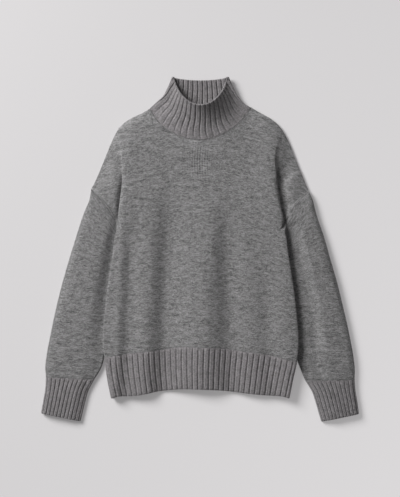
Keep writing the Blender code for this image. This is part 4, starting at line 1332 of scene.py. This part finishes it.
def add_fibres(piece, kind, context):
    """Loose fibres on a piece's outer side: closed needles that lean off the cloth."""
    sizes = context.scene.sweater_sizes
    share, seed = FIBRES[kind]
    count = round(share * sizes.fibres)
    mesh = piece.data
    points = np.empty(len(mesh.vertices) * 3)
    mesh.vertices.foreach_get("co", points)
    points = points.reshape(-1, 3)
    corners = np.empty(len(mesh.polygons) * 4, int)
    mesh.polygons.foreach_get("vertices", corners)
    corners = corners.reshape(-1, 4)
    corners = corners[(corners < len(points) // 2).all(1)]
    a, b, d = points[corners[:, 0]], points[corners[:, 1]], points[corners[:, 3]]
    normal = np.cross(b - a, d - a)
    area = np.linalg.norm(normal, axis=1)
    normal /= np.maximum(area, TINY**2)[:, None]
    area = np.where(normal[:, 2] > FIBRE_FACING, area, 0.0)

    chance = np.random.default_rng(seed)
    at = chance.choice(len(area), count, p=area / area.sum())
    s, t = chance.random((2, count, 1))
    root = a[at] + (b - a)[at] * s + (d - a)[at] * t
    up = normal[at]
    lie = chance.normal(0.0, FIBRE_TURN, count)
    heading = np.column_stack([np.cos(lie), np.sin(lie), np.zeros(count)])
    heading *= np.sign(chance.random(count) - 0.5)[:, None]
    heading -= up * np.sum(heading * up, axis=1, keepdims=True)
    heading /= np.linalg.norm(heading, axis=1, keepdims=True)
    lift = np.radians(chance.uniform(*FIBRE_LIFT, (count, 1)))
    length = sizes.fibre_length * chance.uniform(*FIBRE_SPREAD, (count, 1))
    tip = root + (heading * np.cos(lift) + up * np.sin(lift)) * length
    thick = sizes.fibre_radius
    tip[:, 2] = np.maximum(tip[:, 2], thick)
    beside = np.cross(heading, up)
    foot = [root + beside * thick, root - beside * thick, root + up * FIBRE_DEPTH * thick]
    points = np.stack([*foot, tip], 1).reshape(-1, 3)
    first = np.arange(count)[:, None, None] * 4
    faces = (first + np.array([[0, 1, 2], [1, 0, 3], [2, 1, 3], [0, 2, 3]])).reshape(-1, 3)
    flat = np.zeros((len(points), 2))
    name = piece.name + "_fibres"
    return make_piece(name, points, faces.tolist(), flat, fibre_wool(context))


# ---------------------------------------------------------------- operators


class MakeFront(bpy.types.Operator):
    """Make the front panel, with its drop shoulders, soft folds and underarm creases"""

    bl_idname = "sweater.make_front"
    bl_label = "Front"

    def execute(self, context):
        sizes = context.scene.sweater_sizes
        yarn = jersey_wool(context)
        rows = eased(0.0, 1.0, FRONT_ROWS, *[SEAM_ROUND / BODY_LENGTH] * 2)
        base, normals = front_grid(rows, body_columns(FRONT_COLUMNS, FLAP_COLUMNS))
        piece = cloth_wall("front_cloth", base, normals, sizes.jersey / MM, yarn,
                           [SEAM_ROUND] * 3, floor=above_back, place=body_cloth)
        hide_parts("front")
        radius = sizes.seam_radius / MM
        neck = shifted(neck_path(), 0.0, EDGE_SEAM_SUNK, -EDGE_SEAM_SUNK)
        hem = shifted(hem_path(), 0.0, 0.0, -CHAIN_SUNK * radius)
        added = [
            seam_chain("neck_seam", neck, radius, yarn), seam_chain("hem_seam", hem, radius, yarn)
        ]
        for name, side, out in (
            ("right", RIGHT_SIDE, -RIGHT_SEAM_OUT), ("left", LEFT_SIDE, LEFT_SEAM_OUT)
        ):
            path = shifted(armhole_path(side), out, -SEAM_DOWN * abs(out), -EDGE_SEAM_SUNK)
            added.append(seam_chain("armhole_seam_" + name, path, ARMHOLE_SEAM * radius, yarn))
        added.append(add_fibres(piece, "front", context))
        return {"FINISHED"}


class MakeBack(bpy.types.Operator):
    """Make the back panel, which lies flat under the front"""

    bl_idname = "sweater.make_back"
    bl_label = "Back"

    def execute(self, context):
        rows = eased(0.0, 1.0, BACK_ROWS, *[SEAM_ROUND / BODY_LENGTH] * 2)
        columns = eased(0.0, 1.0, BACK_COLUMNS, *[SEAM_ROUND / BODY_WIDTH] * 2)
        thickness = context.scene.sweater_sizes.jersey / MM
        base, normals = back_grid(rows, columns, thickness)
        piece = cloth_wall("back_cloth", base, normals, thickness, jersey_wool(context),
                           [SEAM_ROUND] * 3, place=body_cloth)
        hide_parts("back")
        return {"FINISHED"}


class MakeHemBands(bpy.types.Operator):
    """Make the ribbed hem bands of the front and the back"""

    bl_idname = "sweater.make_hem_bands"
    bl_label = "Hem Bands"

    def execute(self, context):
        sizes = context.scene.sweater_sizes
        count = sizes.hem_ribs * RIB_STEPS
        ribs = np.arange(count + 1) / count
        columns = rib_columns(ribs)
        rows = eased(HEM_FOOT, seam_row(), HEM_ROWS, EDGE_ROUND / BODY_LENGTH,
                     SEAM_ROUND / BODY_LENGTH)
        rounds = [EDGE_ROUND, SEAM_ROUND, SEAM_ROUND]
        height, thickness = sizes.rib_height / MM, sizes.rib_wall / MM
        across = np.broadcast_to(ribs * sizes.hem_ribs, (rows.size, count + 1))
        height = HEM_RIB_GAIN * height * rib_start((seam_row() - rows) * BODY_LENGTH)[:, None]
        base, normals = front_grid(rows, columns)
        piece = cloth_wall(
            "hem_front_rib", base, normals, thickness, rib_wool(context), rounds,
            raised=rib_wave(across, height), sunk=rib_back(across, height), floor=above_back,
        )
        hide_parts("hem_front")
        fibres = add_fibres(piece, "hem", context)

        base, normals = back_grid(rows, columns, thickness)
        height = HEM_BACK_RIBS * height
        piece = cloth_wall(
            "hem_back_rib", base, normals, thickness, rib_wool(context), rounds,
            raised=np.minimum(rib_wave(across, height), 0.0),
            sunk=0.32 * height - rib_wave(across + 0.5, height), floor=above_floor,
        )
        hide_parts("hem_back")
        return {"FINISHED"}


class MakeSleeves(bpy.types.Operator):
    """Make both sleeves, flattened tubes beside the body"""

    bl_idname = "sweater.make_sleeves"
    bl_label = "Sleeves"

    def execute(self, context):
        thickness = context.scene.sweater_sizes.jersey / MM
        alongs = eased(0.0, 1.0, SLEEVE_ROWS, *[SEAM_ROUND / SLEEVE_LENGTH] * 2)
        turns = tube_turns(SLEEVE_UPPER, FOLD_STEPS, SLEEVE_LOWER)
        for name, side, table, flip, pressed in (
            ("right", RIGHT_SIDE, RIGHT_SLEEVE, -1, 0.0), ("left", LEFT_SIDE, LEFT_SLEEVE, 1, 1.0)
        ):
            surface = tube_surface(sleeve_folds(side, table), armhole_bow(side), pressed)
            base, normals = tube_grid(surface, turns, alongs, flip)
            piece = cloth_wall("sleeve_%s_cloth" % name, base, normals, thickness,
                               jersey_wool(context), [SEAM_ROUND] * 2, tube=True,
                               floor=above_floor)
            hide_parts("sleeve_" + name)
            fibres = add_fibres(piece, "sleeve", context)
        return {"FINISHED"}


class MakeCuffs(bpy.types.Operator):
    """Make both ribbed cuffs"""

    bl_idname = "sweater.make_cuffs"
    bl_label = "Cuffs"

    def execute(self, context):
        sizes = context.scene.sweater_sizes
        count = sizes.cuff_ribs * RIB_STEPS
        height, thickness = sizes.rib_height / MM, sizes.rib_wall / MM
        radius = sizes.seam_radius / MM
        turns = tube_turns(count, FOLD_STEPS, count)
        upper = turns <= FOLD_TURN
        lower = (turns >= 0.5) & (turns <= 0.5 + FOLD_TURN)
        place = np.where(upper, turns, turns - 0.5) / FOLD_TURN * sizes.cuff_ribs
        ribs = rib_wave(place, height)
        raised = np.where(lower, np.minimum(CUFF_UNDER_RIBS * ribs, 0.0), 0.0)
        raised = np.where(upper, ribs, raised)
        alongs = eased(CUFF_SEAM, 1.0, CUFF_ROWS, SEAM_ROUND / RIB_LENGTH, EDGE_ROUND / RIB_LENGTH)
        rising = rib_start((alongs - CUFF_SEAM) * RIB_LENGTH)[:, None]
        for name, table, flip in (("right", RIGHT_CUFF, -1), ("left", LEFT_CUFF, 1)):
            base, normals = tube_grid(tube_surface(cuff_folds(table)), turns, alongs, flip)
            piece = cloth_wall("cuff_%s_rib" % name, base, normals, thickness, rib_wool(context),
                               [SEAM_ROUND, EDGE_ROUND], raised=raised[::flip] * rising, tube=True,
                               floor=above_floor)
            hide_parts("cuff_" + name)
            path = shifted(cuff_path(table), 0.0, 0.0, -CHAIN_SUNK * radius)
            seam = seam_chain("cuff_seam_" + name, path, radius, jersey_wool(context))
            fibres = add_fibres(piece, "cuff", context)
        return {"FINISHED"}


class MakeCollar(bpy.types.Operator):
    """Make the high ribbed collar, its back lying flat and its front standing"""

    bl_idname = "sweater.make_collar"
    bl_label = "Collar"

    def execute(self, context):
        sizes = context.scene.sweater_sizes
        height, thickness = sizes.rib_height / MM, sizes.rib_wall / MM
        ups = eased(COLLAR_SEAM, 1.0, COLLAR_ROWS, SEAM_ROUND / RIB_LENGTH, EDGE_ROUND / RIB_LENGTH)
        base, normals, share = collar_grid(ups, sizes.collar_ribs * RIB_STEPS)
        place = np.broadcast_to(share * sizes.collar_ribs, base.shape[:2])
        facing_up = smooth(0.0, 0.3, normals[..., 2])
        height = height * mix(*COLLAR_RIBS, smooth(0.0, 0.5, ups))[:, None]
        height = height * rib_start((ups - COLLAR_SEAM) * RIB_LENGTH)[:, None]
        bound = BOUND_HEIGHT * np.exp(-(((1 - ups) * RIB_LENGTH / BOUND_REACH) ** 2))[:, None]
        raised = rib_wave(place, height) * facing_up + bound
        sunk = mix(-rib_wave(place + 0.5, height), rib_back(place, height), facing_up)
        piece = cloth_wall("collar_rib", base, normals, thickness, rib_wool(context),
                           [SEAM_ROUND, EDGE_ROUND], raised=raised, sunk=sunk, tube=True,
                           floor=above_floor)
        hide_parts("collar")
        fibres = add_fibres(piece, "collar", context)
        return {"FINISHED"}


class MakeStage(bpy.types.Operator):
    """Make the floor, the light and the camera"""

    bl_idname = "sweater.make_stage"
    bl_label = "Stage"

    def execute(self, context):
        scene = context.scene
        mesh = bpy.data.meshes.new("floor")
        corners = [(x * FLOOR_REACH, y * FLOOR_REACH, -FLOOR_DROP)
                   for x, y in ((-1, -1), (1, -1), (1, 1), (-1, 1))]
        mesh.from_pydata(corners, [], [(0, 1, 2, 3)])
        mesh.materials.append(pale_floor(scene.sweater_colours.floor))
        floor = bpy.data.objects.new("floor", mesh)
        scene.collection.objects.link(floor)

        world = bpy.data.worlds.new("studio")
        world.use_nodes = True
        background = world.node_tree.nodes["Background"]
        background.inputs["Color"].default_value = (1.0, 0.995, 1.0, 1.0)
        background.inputs["Strength"].default_value = ROOM_LIGHT
        scene.world = world

        key = bpy.data.lights.new("softbox", "AREA")
        key.shape = "DISK"
        key.size = LIGHT_SIZE
        key.energy = LIGHT_POWER
        lamp = bpy.data.objects.new("softbox", key)
        lamp.rotation_euler = (0.0, np.radians(90 - LIGHT_ELEVATION), np.radians(180 - LIGHT_TURN))
        lamp.location = lamp.rotation_euler.to_matrix() @ Vector((0.0, 0.0, LIGHT_DISTANCE))
        scene.collection.objects.link(lamp)

        camera = bpy.data.cameras.new("camera")
        camera.sensor_fit = "HORIZONTAL"
        camera.sensor_width = 36.0
        camera.lens = LENS
        view = bpy.data.objects.new("camera", camera)
        view.location = CAMERA_PLACE
        scene.collection.objects.link(view)
        scene.camera = view
        scene.view_settings.view_transform = "Standard"
        return {"FINISHED"}


class SweaterPanel(bpy.types.Panel):
    """The sweater's pieces and settings"""

    bl_idname = "SWEATER_PT_pieces"
    bl_label = "Turtleneck Sweater"
    bl_space_type = "VIEW_3D"
    bl_region_type = "UI"
    bl_category = "Sweater"

    def draw(self, context):
        for settings in (context.scene.sweater_sizes, context.scene.sweater_colours):
            for name in settings.__annotations__:
                self.layout.prop(settings, name)
        for piece in PIECES:
            self.layout.operator(piece.bl_idname)


PIECES = (MakeFront, MakeBack, MakeHemBands, MakeSleeves, MakeCuffs, MakeCollar, MakeStage)
CLASSES = (SweaterSizes, SweaterColours, *PIECES, SweaterPanel)


def register():
    for item in CLASSES:
        bpy.utils.register_class(item)
    bpy.types.Scene.sweater_sizes = bpy.props.PointerProperty(type=SweaterSizes)
    bpy.types.Scene.sweater_colours = bpy.props.PointerProperty(type=SweaterColours)


def unregister():
    del bpy.types.Scene.sweater_sizes
    del bpy.types.Scene.sweater_colours
    for item in reversed(CLASSES):
        bpy.utils.unregister_class(item)


def main():
    register()
    bpy.ops.sweater.make_front()
    bpy.ops.sweater.make_back()
    bpy.ops.sweater.make_hem_bands()
    bpy.ops.sweater.make_sleeves()
    bpy.ops.sweater.make_cuffs()
    bpy.ops.sweater.make_collar()
    bpy.ops.sweater.make_stage()


if __name__ == "__main__":
    main()
